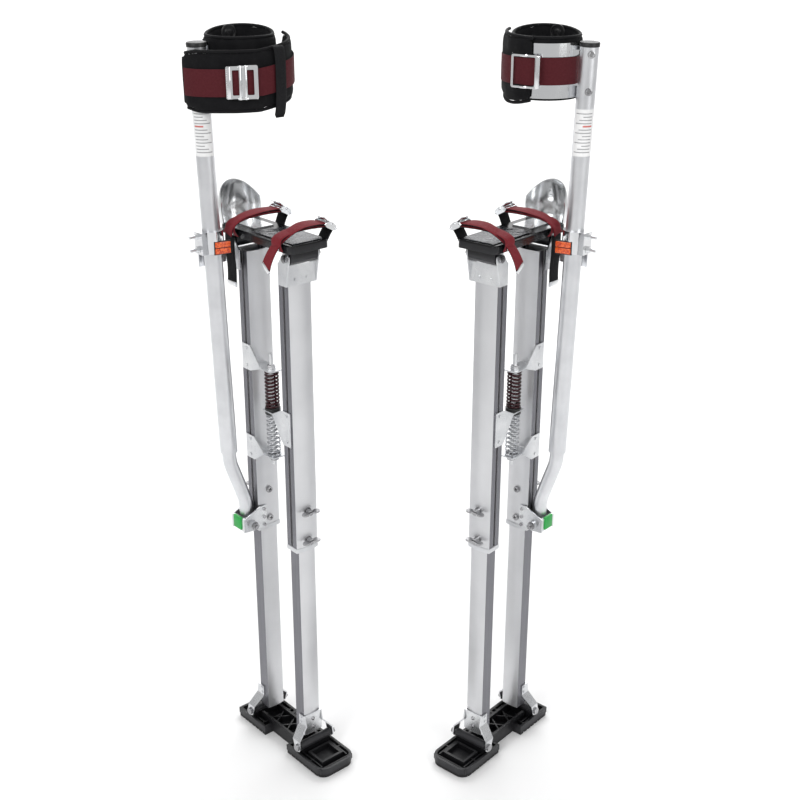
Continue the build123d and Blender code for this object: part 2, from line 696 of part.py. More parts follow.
def arch_section(reach, high, mode):
    """Area under a strap's arch, for the sketch around the call."""
    with BuildLine() as outline:
        Line((-reach, PLATE_LOW + 6), (-reach, PLATE_HIGH))
        Spline(
            (-reach, PLATE_HIGH),
            (-reach + 18, high - 8),
            (0, high),
            (reach - 18, high - 8),
            (reach, PLATE_HIGH),
            tangents=((0, 1), (0, -1)),
        )
        Line((reach, PLATE_HIGH), (reach, PLATE_LOW + 6))
        Line((reach, PLATE_LOW + 6), (-reach, PLATE_LOW + 6))
    make_face(outline.edges(), mode=mode)


def foot_strap(y, high):
    """Webbing arch over the foot, from one side of the plate to the other."""
    reach = PLATE_HALF_X + 0.4
    with BuildSketch(Plane.XZ.offset(-y - WEB_WIDTH / 2)) as arch:
        arch_section(reach + WEB_T, high + WEB_T, Mode.ADD)
        arch_section(reach, high, Mode.SUBTRACT)
    extrude(arch.sketch, amount=WEB_WIDTH)


def strap_buckle(y, high):
    """Cam buckle on the strap's inner shoulder."""
    with Locations(Location((32, y, high - 6), (0, 42, 0))):
        Box(26, WEB_WIDTH + 6, 2.5)
    with Locations(Location((35, y, high - 4), (0, 42, 0))):
        Box(9, WEB_WIDTH + 2, 6)


with BuildPart() as foot_straps:
    for strap_y, strap_high in ((TOE_STRAP_Y, ARCH_HIGH), (INSTEP_STRAP_Y, ARCH_HIGH + 3)):
        foot_strap(strap_y, strap_high)
        strap_buckle(strap_y, strap_high)
    # Loose end of the instep strap, hanging outside the rear strut
    box_between(-46, -43.4, 47, 73, 925, 1022)
    box_between(-46, -40.4, 47, 49, 1018, 1022)

# ---------------------------------------------------------------- write everything

PIECES = {
    "sole_frame": sole_frame,
    "sole_tread": sole_tread,
    "ankle_bolts": ankle_bolts,
    "front_lower_strut": front_lower_strut,
    "front_ankle_bracket": front_ankle_bracket,
    "rear_lower_strut": rear_lower_strut,
    "rear_ankle_bracket": rear_ankle_bracket,
    "front_upper_strut": front_upper_strut,
    "front_top_bracket": front_top_bracket,
    "middle_spring_bracket": middle_spring_bracket,
    "rear_upper_strut": rear_upper_strut,
    "rear_top_bracket": rear_top_bracket,
    "spring_rod": spring_rod,
    "sway_springs": sway_springs,
    "spring_seat": spring_seat,
    "leg_tube_bracket": leg_tube_bracket,
    "lower_leg_tube": lower_leg_tube,
    "tube_clamp": tube_clamp,
    "upper_leg_tube": upper_leg_tube,
    "footplate": footplate,
    "footplate_bolts": footplate_bolts,
    "heel_cup": heel_cup,
    "foot_straps": foot_straps,
}
for end, side in (("front", -1), ("rear", 1)):
    for level, screw_z in zip(("lower", "upper"), SCREW_Z):
        PIECES[f"{end}_{level}_wing_screw"] = make_wing_screw(side, screw_z)

for name, piece in PIECES.items():
    export_pair(piece, name)

# The calf bands are fastened differently: the right plate lies behind the calf, the
# left one in front of it, and the buckles sit at different places round the band.
write_piece(HOME * right_calf_pad.part, "right_calf_pad")
write_piece(mirror(HOME * left_calf_pad.part, Plane.YZ), "left_calf_pad")
write_piece(HOME * make_calf_plate(22).part, "right_calf_plate")
write_piece(mirror(HOME * make_calf_plate(178).part, Plane.YZ), "left_calf_plate")
write_piece(HOME * make_calf_strap(262).part, "right_calf_strap")
write_piece(mirror(HOME * make_calf_strap(262).part, Plane.YZ), "left_calf_strap")
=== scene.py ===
"""Studio scene of a pair of drywall stilts: materials, soft goods and small trim on the CAD frame.

Trim and soft goods are drawn in millimetres in each stilt's own frame (X to the inner side,
toe along -Y, Z up), which is worked out from the ankle joints. The left stilt is mirrored.
"""

import json
import math

import bmesh
import bpy
from mathutils import Matrix, Vector, noise


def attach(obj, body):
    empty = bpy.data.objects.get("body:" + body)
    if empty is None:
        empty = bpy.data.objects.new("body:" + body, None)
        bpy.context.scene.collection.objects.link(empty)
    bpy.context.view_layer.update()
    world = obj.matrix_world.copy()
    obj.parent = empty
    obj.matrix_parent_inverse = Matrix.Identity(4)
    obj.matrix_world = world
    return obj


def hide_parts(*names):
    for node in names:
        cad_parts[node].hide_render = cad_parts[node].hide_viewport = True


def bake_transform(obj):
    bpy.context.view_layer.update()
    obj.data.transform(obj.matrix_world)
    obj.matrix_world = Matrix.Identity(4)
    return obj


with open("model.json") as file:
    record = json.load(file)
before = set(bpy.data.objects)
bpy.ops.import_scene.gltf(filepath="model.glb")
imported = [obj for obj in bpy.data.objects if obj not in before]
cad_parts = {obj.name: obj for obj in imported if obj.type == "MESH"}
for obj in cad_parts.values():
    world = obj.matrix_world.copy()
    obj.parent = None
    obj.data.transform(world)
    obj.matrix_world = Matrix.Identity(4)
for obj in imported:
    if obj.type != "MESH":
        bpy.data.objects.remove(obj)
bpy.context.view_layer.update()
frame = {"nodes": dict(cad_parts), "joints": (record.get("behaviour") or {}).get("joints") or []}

MM = 0.001
SIDES = ("right", "left")
JOINTS = {joint["name"]: joint for joint in frame["joints"]}

# Sizes and heights in millimetres, beside those that are read from the CAD nodes' boxes
GROOVE_SHADE_HALF = 2.4                  # half the width of the painted shade in the groove of an upper strut's side
ANKLE_RIVETS = (62, 80)
ANKLE_WEB = 2.9                    # from a lower strut's face to the outside of its bracket's web
CLEVIS_HEIGHT = 469
CHEEK_RIVETS = (461, 477, 493)
CHEEK_FACE = 37.3
SLOT_HEADS = (471, 529)
SLOT_FACE = 38.4
ROD_NUT_TOP = 783.6
ROD_NUT_FOOT = 615.9
SPRING_RADIUS = 11.2
TUBE_SCREWS = (1264, 1322)
TUBE_SCREW_ANGLE = math.radians(222)
LABEL_LOW = 1160
LABEL_HIGH = 1236
LABEL_ROWS = 13
LABEL_STEP = 5.2
RED_ROW = 8
REFLECTOR_HEIGHT = 1006
PAD_LOOP = 28                      # points round a pad's cross-section
CALF_CENTRE = (-11.8, 55.0)
CALF_OUTER = 59.6                  # radius of the calf ring's outside
CALF_INNER = 49.0
CALF_FOOT = 1252.0                 # underside of the calf ring
BACK_RISE = 9.0                    # how far the pad's back wall stands above its front
CALF_STRAP_WIDTH = 43
CALF_STRAP_HEIGHT = 1296           # middle of the left calf strap


# ---------------------------------------------------------------- frames


def stilt_frame(side):
    """Matrix from a stilt's own frame in millimetres to the row frame in metres."""
    front = Vector(JOINTS[f"{side}_sway"]["pos_m"])
    rear = Vector(JOINTS[f"{side}_rear_sway"]["pos_m"])
    back = (rear - front).normalized()
    inner = back.cross(Vector((0, 0, 1))) * (1 if side == "right" else -1)
    centre = (front + rear) / 2
    place = Matrix.Identity(4)
    for row in range(3):
        place[row][0] = inner[row] * MM
        place[row][1] = back[row] * MM
        place[row][2] = MM if row == 2 else 0.0
        place[row][3] = 0.0 if row == 2 else centre[row]
    return place


FRAMES = {side: stilt_frame(side) for side in SIDES}


def local_box(side, node):
    """Lowest and highest corner of a CAD node in its stilt's frame, in millimetres."""
    back = FRAMES[side].inverted()
    points = [back @ vert.co for vert in frame["nodes"][f"{side}_{node}"].data.vertices]
    low = Vector([min(point[i] for point in points) for i in range(3)])
    high = Vector([max(point[i] for point in points) for i in range(3)])
    return low, high


# ---------------------------------------------------------------- mesh helpers


class Shape:
    """Vertices, faces, per-face material numbers and UVs of one piece, in millimetres."""

    def __init__(self):
        self.verts, self.faces, self.slots, self.uvs = [], [], [], []

    def add(self, verts, faces, slot=0, uvs=None):
        start = len(self.verts)
        self.verts += [Vector(vert) for vert in verts]
        for index, face in enumerate(faces):
            self.faces.append([start + corner for corner in face])
            self.slots.append(slot[index] if isinstance(slot, list) else slot)
            self.uvs.append(uvs[index] if uvs else [(0, 0)] * len(face))
        return self

    def grid(self, rows, closed_u=True, closed_v=False, slot=0, caps=False, uv=None):
        """Quads over rows of points; slot may be a function of the column."""
        count, width = len(rows), len(rows[0])
        verts = [point for row in rows for point in row]
        faces, slots, uvs = [], [], []
        for i in range(count if closed_v else count - 1):
            for j in range(width if closed_u else width - 1):
                k, m = (i + 1) % count, (j + 1) % width
                faces.append([i * width + j, i * width + m, k * width + m, k * width + j])
                slots.append(slot(j) if callable(slot) else slot)
                if uv:
                    uvs.append([uv(i, j), uv(i, j + 1), uv(i + 1, j + 1), uv(i + 1, j)])
        if caps:
            faces.append(list(range(width))[::-1])
            faces.append([(count - 1) * width + j for j in range(width)])
            first = slot(0) if callable(slot) else slot
            slots += [first, first]
            if uv:
                uvs += [[(0, 0)] * width, [(0, 0)] * width]
        return self.add(verts, faces, slots, uvs or None)


def basis(axis):
    """Two unit vectors square to an axis."""
    axis = Vector(axis).normalized()
    hint = Vector((0, 1, 0)) if abs(axis.z) > 0.95 else Vector((0, 0, 1))
    first = hint.cross(axis).normalized()
    return first, axis.cross(first)


def lathe(shape, origin, axis, profile, steps=24):
    """Turned form: profile is (radius, distance along the axis) from one end to the other."""
    origin, axis = Vector(origin), Vector(axis).normalized()
    first, second = basis(axis)
    rows = []
    for radius, along in profile:
        ring = []
        for step in range(steps):
            turn = 2 * math.pi * step / steps
            out = first * math.cos(turn) + second * math.sin(turn)
            ring.append(origin + axis * along + out * max(radius, 0.01))
        rows.append(ring)
    return shape.grid(rows, caps=True)


def rounded_profile(radius, length, edge):
    """Solid round bar's profile with rounded ends."""
    arc = [(radius - edge + edge * math.sin(a), edge - edge * math.cos(a))
           for a in (0, math.pi / 6, math.pi / 3, math.pi / 2)]
    return [(0, 0)] + arc + [(r, length - d) for r, d in reversed(arc)] + [(0, length)]


def block(shape, centre, size, turn=None, edge=1.0, slot=0):
    """Box with chamfered edges; turn is a rotation matrix."""
    centre, half = Vector(centre), Vector(size) / 2
    edge = min(edge, min(half) * 0.9)
    bm = bmesh.new()
    bmesh.ops.create_cube(bm, size=2.0)
    for vert in bm.verts:
        vert.co = Vector([vert.co[i] * half[i] for i in range(3)])
    bmesh.ops.bevel(bm, geom=bm.edges[:], offset=edge, segments=2, affect="EDGES", profile=0.5)
    turn = turn or Matrix.Identity(3)
    verts = [centre + turn @ vert.co for vert in bm.verts]
    faces = [[vert.index for vert in face.verts] for face in bm.faces]
    bm.free()
    return shape.add(verts, faces, slot)


def plate(shape, outline, origin, x_axis, y_axis, thickness, edge=0.4):
    """Flat plate: outline points in the plane of two axes, thickened along their normal."""
    origin, x_axis, y_axis = Vector(origin), Vector(x_axis), Vector(y_axis)
    normal = x_axis.cross(y_axis).normalized()
    middle = Vector((sum(p[0] for p in outline), sum(p[1] for p in outline))) / len(outline)
    rows = []
    for inset, lift in ((edge, 0), (0, edge), (0, thickness - edge), (edge, thickness)):
        ring = []
        for point in outline:
            flat = Vector(point)
            flat = flat + (middle - flat).normalized() * inset
            ring.append(origin + x_axis * flat.x + y_axis * flat.y + normal * lift)
        rows.append(ring)
    return shape.grid(rows, caps=True)


def smooth_path(points, per):
    """Catmull-Rom curve through points of any dimension."""
    points = [Vector(point) for point in points]
    count, path = len(points), []
    for i in range(count - 1):
        a, b = points[max(i - 1, 0)], points[i]
        c, d = points[i + 1], points[min(i + 2, count - 1)]
        for step in range(per):
            t = step / per
            path.append(0.5 * (2 * b + (c - a) * t + (2 * a - 5 * b + 4 * c - d) * t * t
                               + (3 * b - a - 3 * c + d) * t ** 3))
    path.append(points[-1])
    return path


def tube(shape, path, radius, steps):
    """Round bar along a path."""
    rows, last = [], None
    for i, point in enumerate(path):
        along = (path[min(i + 1, len(path) - 1)] - path[max(i - 1, 0)]).normalized()
        if last is None:
            first, _ = basis(along)
        else:
            first = (last - along * last.dot(along)).normalized()
        last, second = first, along.cross(first)
        rows.append([point + (first * math.cos(a) + second * math.sin(a)) * radius
                     for a in [2 * math.pi * k / steps for k in range(steps)]])
    return shape.grid(rows, caps=True)


def ribbon(shape, path, widths, width, thick, slots=(0, 0), wave=0.0, seed=0):
    """Webbing along a path. widths are the strap's width directions at the path's points.
    slots are the materials of its outer face and of its inner face and edges."""
    half, flat = width / 2, thick / 2
    section = [(-half, -flat * 0.5), (-half, flat * 0.5), (-half + 1, flat)]
    section += [(-half + (width - 2) * k / 4 + 1, flat) for k in range(1, 4)]
    section += [(half - 1, flat), (half, flat * 0.5), (half, -flat * 0.5), (half - 1, -flat)]
    section += [(half - 1 - (width - 2) * k / 4, -flat) for k in range(1, 4)]
    section += [(-half + 1, -flat)]
    count, rows, length = len(path), [], [0.0]
    for i in range(1, count):
        length.append(length[-1] + (path[i] - path[i - 1]).length)
    for i, point in enumerate(path):
        along = (path[min(i + 1, count - 1)] - path[max(i - 1, 0)]).normalized()
        across = widths[i] - along * widths[i].dot(along)
        across.normalize()
        normal = across.cross(along)
        ripple = wave * noise.noise(Vector((length[i] * 0.02, seed, 0)))
        rows.append([point + across * x + normal * (y + ripple * (x / half) ** 2)
                     for x, y in section])
    top = range(1, 7)

    def uv(i, j):
        x = section[j % len(section)][0]
        return (x / 10, length[min(i, count - 1)] / 10)

    return shape.grid(rows, slot=lambda j: slots[0] if j in top else slots[1], caps=True, uv=uv)


def strap(shape, stations, width, thick, **more):
    """Webbing through stations of (x, y, z, width direction x, y, z)."""
    path = smooth_path(stations, 8)
    points = [Vector(p[:3]) for p in path]
    widths = [Vector(p[3:]) for p in path]
    return ribbon(shape, points, widths, width, thick, **more)


def to_object(shape, name, side, body, materials, smooth=35, subdivide=0, ride=True):
    """Makes the piece's object in its place on the stilt and puts it on its body."""
    mesh = bpy.data.meshes.new(f"{side}_{name}")
    place = FRAMES[side]
    mesh.from_pydata([place @ vert for vert in shape.verts], [], shape.faces)
    uv_layer = mesh.uv_layers.new(name="UVMap")
    for polygon, corners, number in zip(mesh.polygons, shape.uvs, shape.slots):
        polygon.material_index = number
        for loop, corner in zip(polygon.loop_indices, corners):
            uv_layer.data[loop].uv = corner
    for material in materials:
        mesh.materials.append(material)
    bm = bmesh.new()
    bm.from_mesh(mesh)
    bmesh.ops.recalc_face_normals(bm, faces=bm.faces)
    bm.to_mesh(mesh)
    bm.free()
    mesh.shade_smooth()
    if smooth < 180:
        mesh.set_sharp_from_angle(angle=math.radians(smooth))
    piece = bpy.data.objects.new(f"{side}_{name}", mesh)
    bpy.context.scene.collection.objects.link(piece)
    if subdivide:
        modifier = piece.modifiers.new("Subdivision", "SUBSURF")
        modifier.levels = modifier.render_levels = subdivide
    if ride:
        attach(piece, f"{side}_{body}")
    return piece


# ---------------------------------------------------------------- materials


class Nodes:
    """Small wrapper round a material's node tree."""

    def __init__(self, name):
        self.material = bpy.data.materials.new(name)
        self.material.use_nodes = True
        self.tree = self.material.node_tree
        self.shader = self.tree.nodes["Principled BSDF"]

    def node(self, kind, inputs=None, **settings):
        made = self.tree.nodes.new(kind)
        for key, value in settings.items():
            setattr(made, key, value)
        for key, value in (inputs or {}).items():
            made.inputs[key].default_value = value
        return made

    def link(self, source, target):
        self.tree.links.new(source, target)

    def coords(self, output="Object", scale=(1, 1, 1)):
        source = self.node("ShaderNodeTexCoord")
        mapping = self.node("ShaderNodeMapping", {"Scale": scale})
        self.link(source.outputs[output], mapping.inputs["Vector"])
        return mapping.outputs["Vector"]

    def noise(self, vector, scale, detail=4.0, rough=0.55):
        inputs = {"Scale": scale, "Detail": detail, "Roughness": rough}
        made = self.node("ShaderNodeTexNoise", inputs)
        self.link(vector, made.inputs["Vector"])
        return made.outputs["Fac"]

    def ramp(self, value, low, high, start=0.3, end=0.7):
        made = self.node("ShaderNodeValToRGB")
        made.color_ramp.elements[0].position = start
        made.color_ramp.elements[1].position = end
        made.color_ramp.elements[0].color = (*low, 1)
        made.color_ramp.elements[1].color = (*high, 1)
        self.link(value, made.inputs["Fac"])
        return made.outputs["Color"]

    def spread(self, value, low, high):
        inputs = {"From Min": 0.25, "From Max": 0.75, "To Min": low, "To Max": high}
        made = self.node("ShaderNodeMapRange", inputs)
        self.link(value, made.inputs["Value"])
        return made.outputs["Result"]

    def mix(self, factor, first, second):
        made = self.node("ShaderNodeMix", data_type="RGBA")
        for value, socket in ((factor, 0), (first, 6), (second, 7)):
            if isinstance(value, (int, float)):
                made.inputs[socket].default_value = value
            elif isinstance(value, tuple):
                made.inputs[socket].default_value = (*value, 1)
            else:
                self.link(value, made.inputs[socket])
        return made.outputs[2]

    def math(self, kind, first, second=0.0):
        made = self.node("ShaderNodeMath", operation=kind)
        for index, value in enumerate((first, second)):
            if isinstance(value, (int, float)):
                made.inputs[index].default_value = value
            else:
                self.link(value, made.inputs[index])
        return made.outputs[0]

    def bump(self, height, strength=0.3, distance=0.0004):
        made = self.node("ShaderNodeBump", {"Strength": strength, "Distance": distance})
        self.link(height, made.inputs["Height"])
        self.link(made.outputs["Normal"], self.shader.inputs["Normal"])

    def set(self, **values):
        for key, value in values.items():
            socket = self.shader.inputs[key.replace("_", " ")]
            if isinstance(value, bpy.types.NodeSocket):
                self.link(value, socket)
            elif isinstance(value, tuple) and len(value) == 3:
                socket.default_value = (*value, 1)
            else:
                socket.default_value = value
        return self.material


def metal(name, light, dark, rough, grain=(60, 60, 60), grain_scale=14.0, bump=0.06):
    """Metal with brushed or blotchy variation of its tone and gloss."""
    nodes = Nodes(name)
    streaks = nodes.noise(nodes.coords(scale=grain), grain_scale, 6.0)
    blotches = nodes.noise(nodes.coords(), 22.0, 3.0)
    tone = nodes.ramp(blotches, dark, light)
    nodes.bump(streaks, bump, 0.0002)
    return nodes.set(Base_Color=tone, Metallic=1.0, Roughness=nodes.spread(streaks, *rough))


def strut_material(side, name, shade_groove):
    """Matt anodised extrusion whose flat sides get a darker grey: painted shade for the dimmer light
    on faces turned sideways, the same finish as the faces.
    The groove in an upper strut's sides is painted near black inside: painted shade for the recess."""
    nodes = Nodes(f"{name}_{side}")
    lines = nodes.noise(nodes.coords(scale=(90, 90, 1.2)), 9.0, 5.0)
    clouds = nodes.noise(nodes.coords(), 9.0, 3.0)
    face = nodes.ramp(clouds, (0.66, 0.665, 0.68), (0.74, 0.745, 0.76))
    # Darker grey for the flat sides: painted shade on the same anodised finish
    shaded_flank = nodes.ramp(lines, (0.17, 0.17, 0.19), (0.24, 0.24, 0.26))
    geometry = nodes.node("ShaderNodeNewGeometry")
    dot = nodes.node("ShaderNodeVectorMath", operation="DOT_PRODUCT")
    inner = FRAMES[side].to_3x3() @ Vector((1, 0, 0))
    dot.inputs[1].default_value = inner.normalized()
    nodes.link(geometry.outputs["True Normal"], dot.inputs[0])
    # Mask of the faces turned to the sides, which get the painted shade
    shaded_sides = nodes.math("GREATER_THAN", nodes.math("ABSOLUTE", dot.outputs["Value"]), 0.9)
    nodes.bump(lines, 0.05, 0.0002)
    tone = nodes.mix(shaded_sides, face, shaded_flank)
    if shade_groove:
        back = (FRAMES[side].to_3x3() @ Vector((0, 1, 0))).normalized()
        along = nodes.node("ShaderNodeVectorMath", operation="DOT_PRODUCT")
        along.inputs[1].default_value = back
        nodes.link(nodes.coords(), along.inputs[0])
        offset = nodes.math("SUBTRACT", along.outputs["Value"], back.dot(FRAMES[side].translation))
        low, high = local_box(side, "rear_upper_strut")
        middle = (low.y + high.y) / 2 * MM
        from_middle = nodes.math("ABSOLUTE", nodes.math("SUBTRACT", nodes.math("ABSOLUTE", offset),
                                                        middle))
        # Near-black band along the groove: painted shade inside the recess
        groove_shade = nodes.math("LESS_THAN", from_middle, GROOVE_SHADE_HALF * MM)
        tone = nodes.mix(nodes.math("MULTIPLY", groove_shade, shaded_sides), tone, (0.012, 0.012, 0.014))
    return nodes.set(
        Base_Color=tone,
        Metallic=0.85,
        Roughness=nodes.spread(lines, 0.34, 0.46),
    )


def plastic(name, base, worn, rough, grain=900.0, bump=0.15):
    """Moulded plastic or rubber with a fine grain and slightly worn, lighter edges."""
    nodes = Nodes(name)
    speckle = nodes.noise(nodes.coords(), grain, 3.0)
    patches = nodes.noise(nodes.coords(), 30.0, 4.0)
    geometry = nodes.node("ShaderNodeNewGeometry")
    edge = nodes.ramp(geometry.outputs["Pointiness"], (0, 0, 0), (1, 1, 1), 0.52, 0.62)
    tone = nodes.ramp(patches, base, tuple(min(1.0, c * 1.35) for c in base))
    nodes.bump(speckle, bump, 0.0002)
    return nodes.set(
        Base_Color=nodes.mix(edge, tone, worn),
        Roughness=nodes.spread(patches, *rough),
        Specular_IOR_Level=0.32,
    )


def webbing(name, dark, light, sheen):
    """Woven strap: diagonal twill ribs, on a UV map in centimetres."""
    nodes = Nodes(name)
    vector = nodes.coords("UV")
    ribs = {"Scale": 3.2, "Distortion": 0.8, "Detail": 1.0}
    wave = nodes.node("ShaderNodeTexWave", ribs, bands_direction="DIAGONAL")
    nodes.link(vector, wave.inputs["Vector"])
    cross = nodes.node("ShaderNodeTexWave", {"Scale": 4.5}, bands_direction="X")
    nodes.link(vector, cross.inputs["Vector"])
    weave = nodes.math("MULTIPLY", wave.outputs["Fac"], nodes.math("ADD", cross.outputs["Fac"], 0.6))
    fuzz = nodes.noise(vector, 3.0, 5.0)
    tone = nodes.mix(nodes.spread(fuzz, 0.0, 0.45), nodes.ramp(weave, dark, light, 0.1, 0.9), dark)
    nodes.bump(weave, 0.35, 0.0003)
    return nodes.set(
        Base_Color=tone,
        Roughness=nodes.spread(fuzz, 0.62, 0.82),
        Specular_IOR_Level=0.2,
        Sheen_Weight=sheen,
        Sheen_Roughness=0.4,
    )


def padding(name, dark, light):
    """Black padded nylon: a fine two-way weave with soft clouding."""
    nodes = Nodes(name)
    vector = nodes.coords()
    threads = []
    for axis in ("X", "Y", "Z"):
        thread = {"Scale": 230.0, "Distortion": 1.2}
        wave = nodes.node("ShaderNodeTexWave", thread, bands_direction=axis)
        nodes.link(vector, wave.inputs["Vector"])
        threads.append(wave.outputs["Fac"])
    weave = nodes.math("MULTIPLY", nodes.math("ADD", threads[0], threads[1]), threads[2])
    clouds = nodes.noise(vector, 55.0, 5.0)
    nodes.bump(nodes.math("ADD", weave, nodes.math("MULTIPLY", clouds, 2.0)), 0.45, 0.0005)
    return nodes.set(
        Base_Color=nodes.ramp(clouds, dark, light, 0.35, 0.75),
        Roughness=nodes.spread(clouds, 0.75, 0.95),
        Specular_IOR_Level=0.15,
        Sheen_Weight=0.03,
        Sheen_Roughness=0.5,
    )


def film_material():
    """Crinkled, dark reflective sheet on the foot plate."""
    nodes = Nodes("grip_sheet")
    folds = nodes.noise(nodes.coords(scale=(1, 2.2, 1)), 38.0, 3.0)
    fine = nodes.noise(nodes.coords(), 160.0, 2.0)
    nodes.bump(nodes.math("ADD", folds, nodes.math("MULTIPLY", fine, 0.15)), 0.55, 0.004)
    return nodes.set(
        Base_Color=nodes.ramp(folds, (0.015, 0.016, 0.019), (0.07, 0.073, 0.085)),
        Metallic=0.55,
        Roughness=nodes.spread(fine, 0.16, 0.34),
    )


def reflector_material():
    """Orange reflector with small prisms behind a clear face."""
    nodes = Nodes("reflector")
    cells = nodes.node("ShaderNodeTexVoronoi", {"Scale": 420.0}, feature="F1")
    nodes.link(nodes.coords(), cells.inputs["Vector"])
    nodes.bump(cells.outputs["Distance"], 0.5, 0.0006)
    return nodes.set(
        Base_Color=nodes.ramp(cells.outputs["Distance"], (0.95, 0.16, 0.02), (0.55, 0.045, 0.01)),
        Roughness=0.22,
        Coat_Weight=0.6,
        Coat_Roughness=0.05,
    )


ALUMINIUM = metal("anodised_tube", (0.80, 0.81, 0.83), (0.70, 0.71, 0.73), (0.30, 0.42),
                  grain=(50, 50, 2), grain_scale=10.0)
STEEL = metal("zinc_plated_sheet", (0.80, 0.81, 0.82), (0.62, 0.63, 0.65), (0.22, 0.38))
BOLT = metal("zinc_plated_bolt", (0.52, 0.52, 0.53), (0.26, 0.26, 0.27), (0.16, 0.30))
CHROME = metal("chrome", (0.90, 0.91, 0.92), (0.82, 0.83, 0.85), (0.05, 0.12), bump=0.02)
POLISHED = metal("polished_sheet", (0.86, 0.87, 0.88), (0.78, 0.79, 0.80), (0.16, 0.24),
                 bump=0.02)
SPRING_SILVER = metal("spring_wire", (0.52, 0.53, 0.55), (0.34, 0.35, 0.37), (0.20, 0.34))
SPRING_BLACK = plastic("coated_spring", (0.020, 0.003, 0.005), (0.05, 0.008, 0.012), (0.14, 0.24))
SOLE = plastic("sole_moulding", (0.006, 0.006, 0.007), (0.030, 0.030, 0.033), (0.36, 0.50))
TREAD = plastic("tread_rubber", (0.006, 0.006, 0.007), (0.022, 0.022, 0.024), (0.5, 0.66))
CASTING = plastic("painted_casting", (0.004, 0.004, 0.005), (0.03, 0.03, 0.033), (0.12, 0.24),
                  grain=260.0, bump=0.25)
NYLON = plastic("black_nylon", (0.006, 0.006, 0.007), (0.03, 0.03, 0.03), (0.3, 0.45))
BUSH = plastic("grey_bush", (0.56, 0.57, 0.59), (0.70, 0.71, 0.73), (0.35, 0.5))
GREEN = plastic("green_cap", (0.010, 0.30, 0.045), (0.05, 0.42, 0.10), (0.35, 0.5))
LABEL = plastic("label_paper", (0.80, 0.80, 0.80), (0.86, 0.86, 0.86), (0.45, 0.6))
LABEL_INK = plastic("label_bars", (0.30, 0.30, 0.31), (0.35, 0.35, 0.36), (0.5, 0.6))
LABEL_RED = plastic("label_band", (0.55, 0.16, 0.14), (0.6, 0.2, 0.18), (0.5, 0.6))
STRAP = webbing("burgundy_webbing", (0.13, 0.008, 0.013), (0.29, 0.022, 0.034), 0.06)
CALF_STRAP = webbing("dark_burgundy_webbing", (0.055, 0.006, 0.009), (0.115, 0.013, 0.020), 0.04)
BLACK_STRAP = webbing("black_webbing", (0.004, 0.004, 0.005), (0.014, 0.014, 0.016), 0.03)
PAD = padding("black_padding", (0.003, 0.003, 0.004), (0.010, 0.010, 0.011))
FILM = film_material()
REFLECTOR = reflector_material()
UPPER_STRUT = {side: strut_material(side, "anodised_upper_strut", True) for side in SIDES}
LOWER_STRUT = {side: strut_material(side, "anodised_lower_strut", False) for side in SIDES}

NODE_MATERIALS = {
    "sole_frame": SOLE,
    "sole_tread": TREAD,
    "spring_rod": STEEL,
    "sway_springs": SPRING_SILVER,
    "spring_seat": NYLON,
    "lower_leg_tube": ALUMINIUM,
    "upper_leg_tube": ALUMINIUM,
    "tube_clamp": CHROME,
    "calf_plate": CHROME,
    "footplate": CASTING,
    "heel_cup": POLISHED,
}


def paint_nodes():
    """Gives every CAD node its material."""
    for name, node in frame["nodes"].items():
        side, part = name.split("_", 1)
        material = NODE_MATERIALS.get(part, BOLT)
        if part.endswith("bracket"):
            material = STEEL
        elif part.endswith("upper_strut"):
            material = UPPER_STRUT[side]
        elif part.endswith("lower_strut"):
            material = LOWER_STRUT[side]
        for index in range(len(node.data.materials)):
            node.data.materials[index] = material


paint_nodes()


# ---------------------------------------------------------------- struts and rivets


def strut_outline(low, high, grow):
    """Plan of an upper strut's outside: flat sides and convex faces, grown outwards."""
    centre = (low + high) / 2
    half_x, half_y = (high.x - low.x) / 2, (high.y - low.y) / 2
    shaded_flank = half_y - 3.3
    points = []
    for sign in (-1, 1):
        for k in range(11):
            share = (k / 5 - 1) * -sign
            bulge = (half_y - shaded_flank) * (1 - share * share)
            points.append((centre.x + share * -(half_x + grow),
                           centre.y + sign * (shaded_flank + bulge + grow)))
    return points


def make_bush(side, end):
    """Plastic collar that guides the lower strut at the bottom of the upper one."""
    low, high = local_box(side, f"{end}_upper_strut")
    inner_low, inner_high = local_box(side, f"{end}_lower_strut")
    outside = strut_outline(low, high, 0.8)
    half = Vector(((inner_high.x - inner_low.x) / 2 + 0.5, (inner_high.y - inner_low.y) / 2 + 0.5))
    centre = (low + high) / 2
    groove_shade = []
    for x, y in outside:
        groove_shade.append((
            max(centre.x - half.x, min(centre.x + half.x, x)),
            max(centre.y - half.y, min(centre.y + half.y, y)),
        ))
    rows = []
    top, bottom = low.z - 0.3, low.z - 9
    for ring, z in ((groove_shade, top), (outside, top), (outside, bottom + 1.5),
                    ([(centre.x + (x - centre.x) * 0.97, centre.y + (y - centre.y) * 0.97)
                      for x, y in outside], bottom), (groove_shade, bottom)):
        rows.append([(x, y, z) for x, y in ring])
    shape = Shape().grid(rows, closed_v=True)
    to_object(shape, f"{end}_end_bush", side, f"{end}_upper", [BUSH], smooth=40)


def rivet(shape, point, normal, radius=3.6, rise=2.2):
    """Domed head on a plate."""
    steps = 5
    dome = [(radius * math.cos(math.pi / 2 * k / steps), rise * math.sin(math.pi / 2 * k / steps))
            for k in range(steps + 1)]
    lathe(shape, point, normal, [(radius, -0.6)] + dome, steps=20)


def nut(shape, point, normal, across=13.0, thick=6.0, bolt=3.6):
    """Hexagon nut on a washer, with the bolt's end standing out of it."""
    point, normal = Vector(point), Vector(normal).normalized()
    lathe(shape, point, normal, [(across * 0.66, 0), (across * 0.66, 1.0), (across * 0.6, 1.3)],
          steps=28)
    half = across / math.sqrt(3)
    lathe(shape, point + normal * 1.2, normal,
          [(half * 0.92, 0), (half, 0.6), (half, thick - 0.6), (half * 0.9, thick)], steps=6)
    lathe(shape, point + normal * (thick + 1.0), normal,
          [(bolt, 0), (bolt, 2.0), (bolt - 0.7, 2.8)], steps=20)


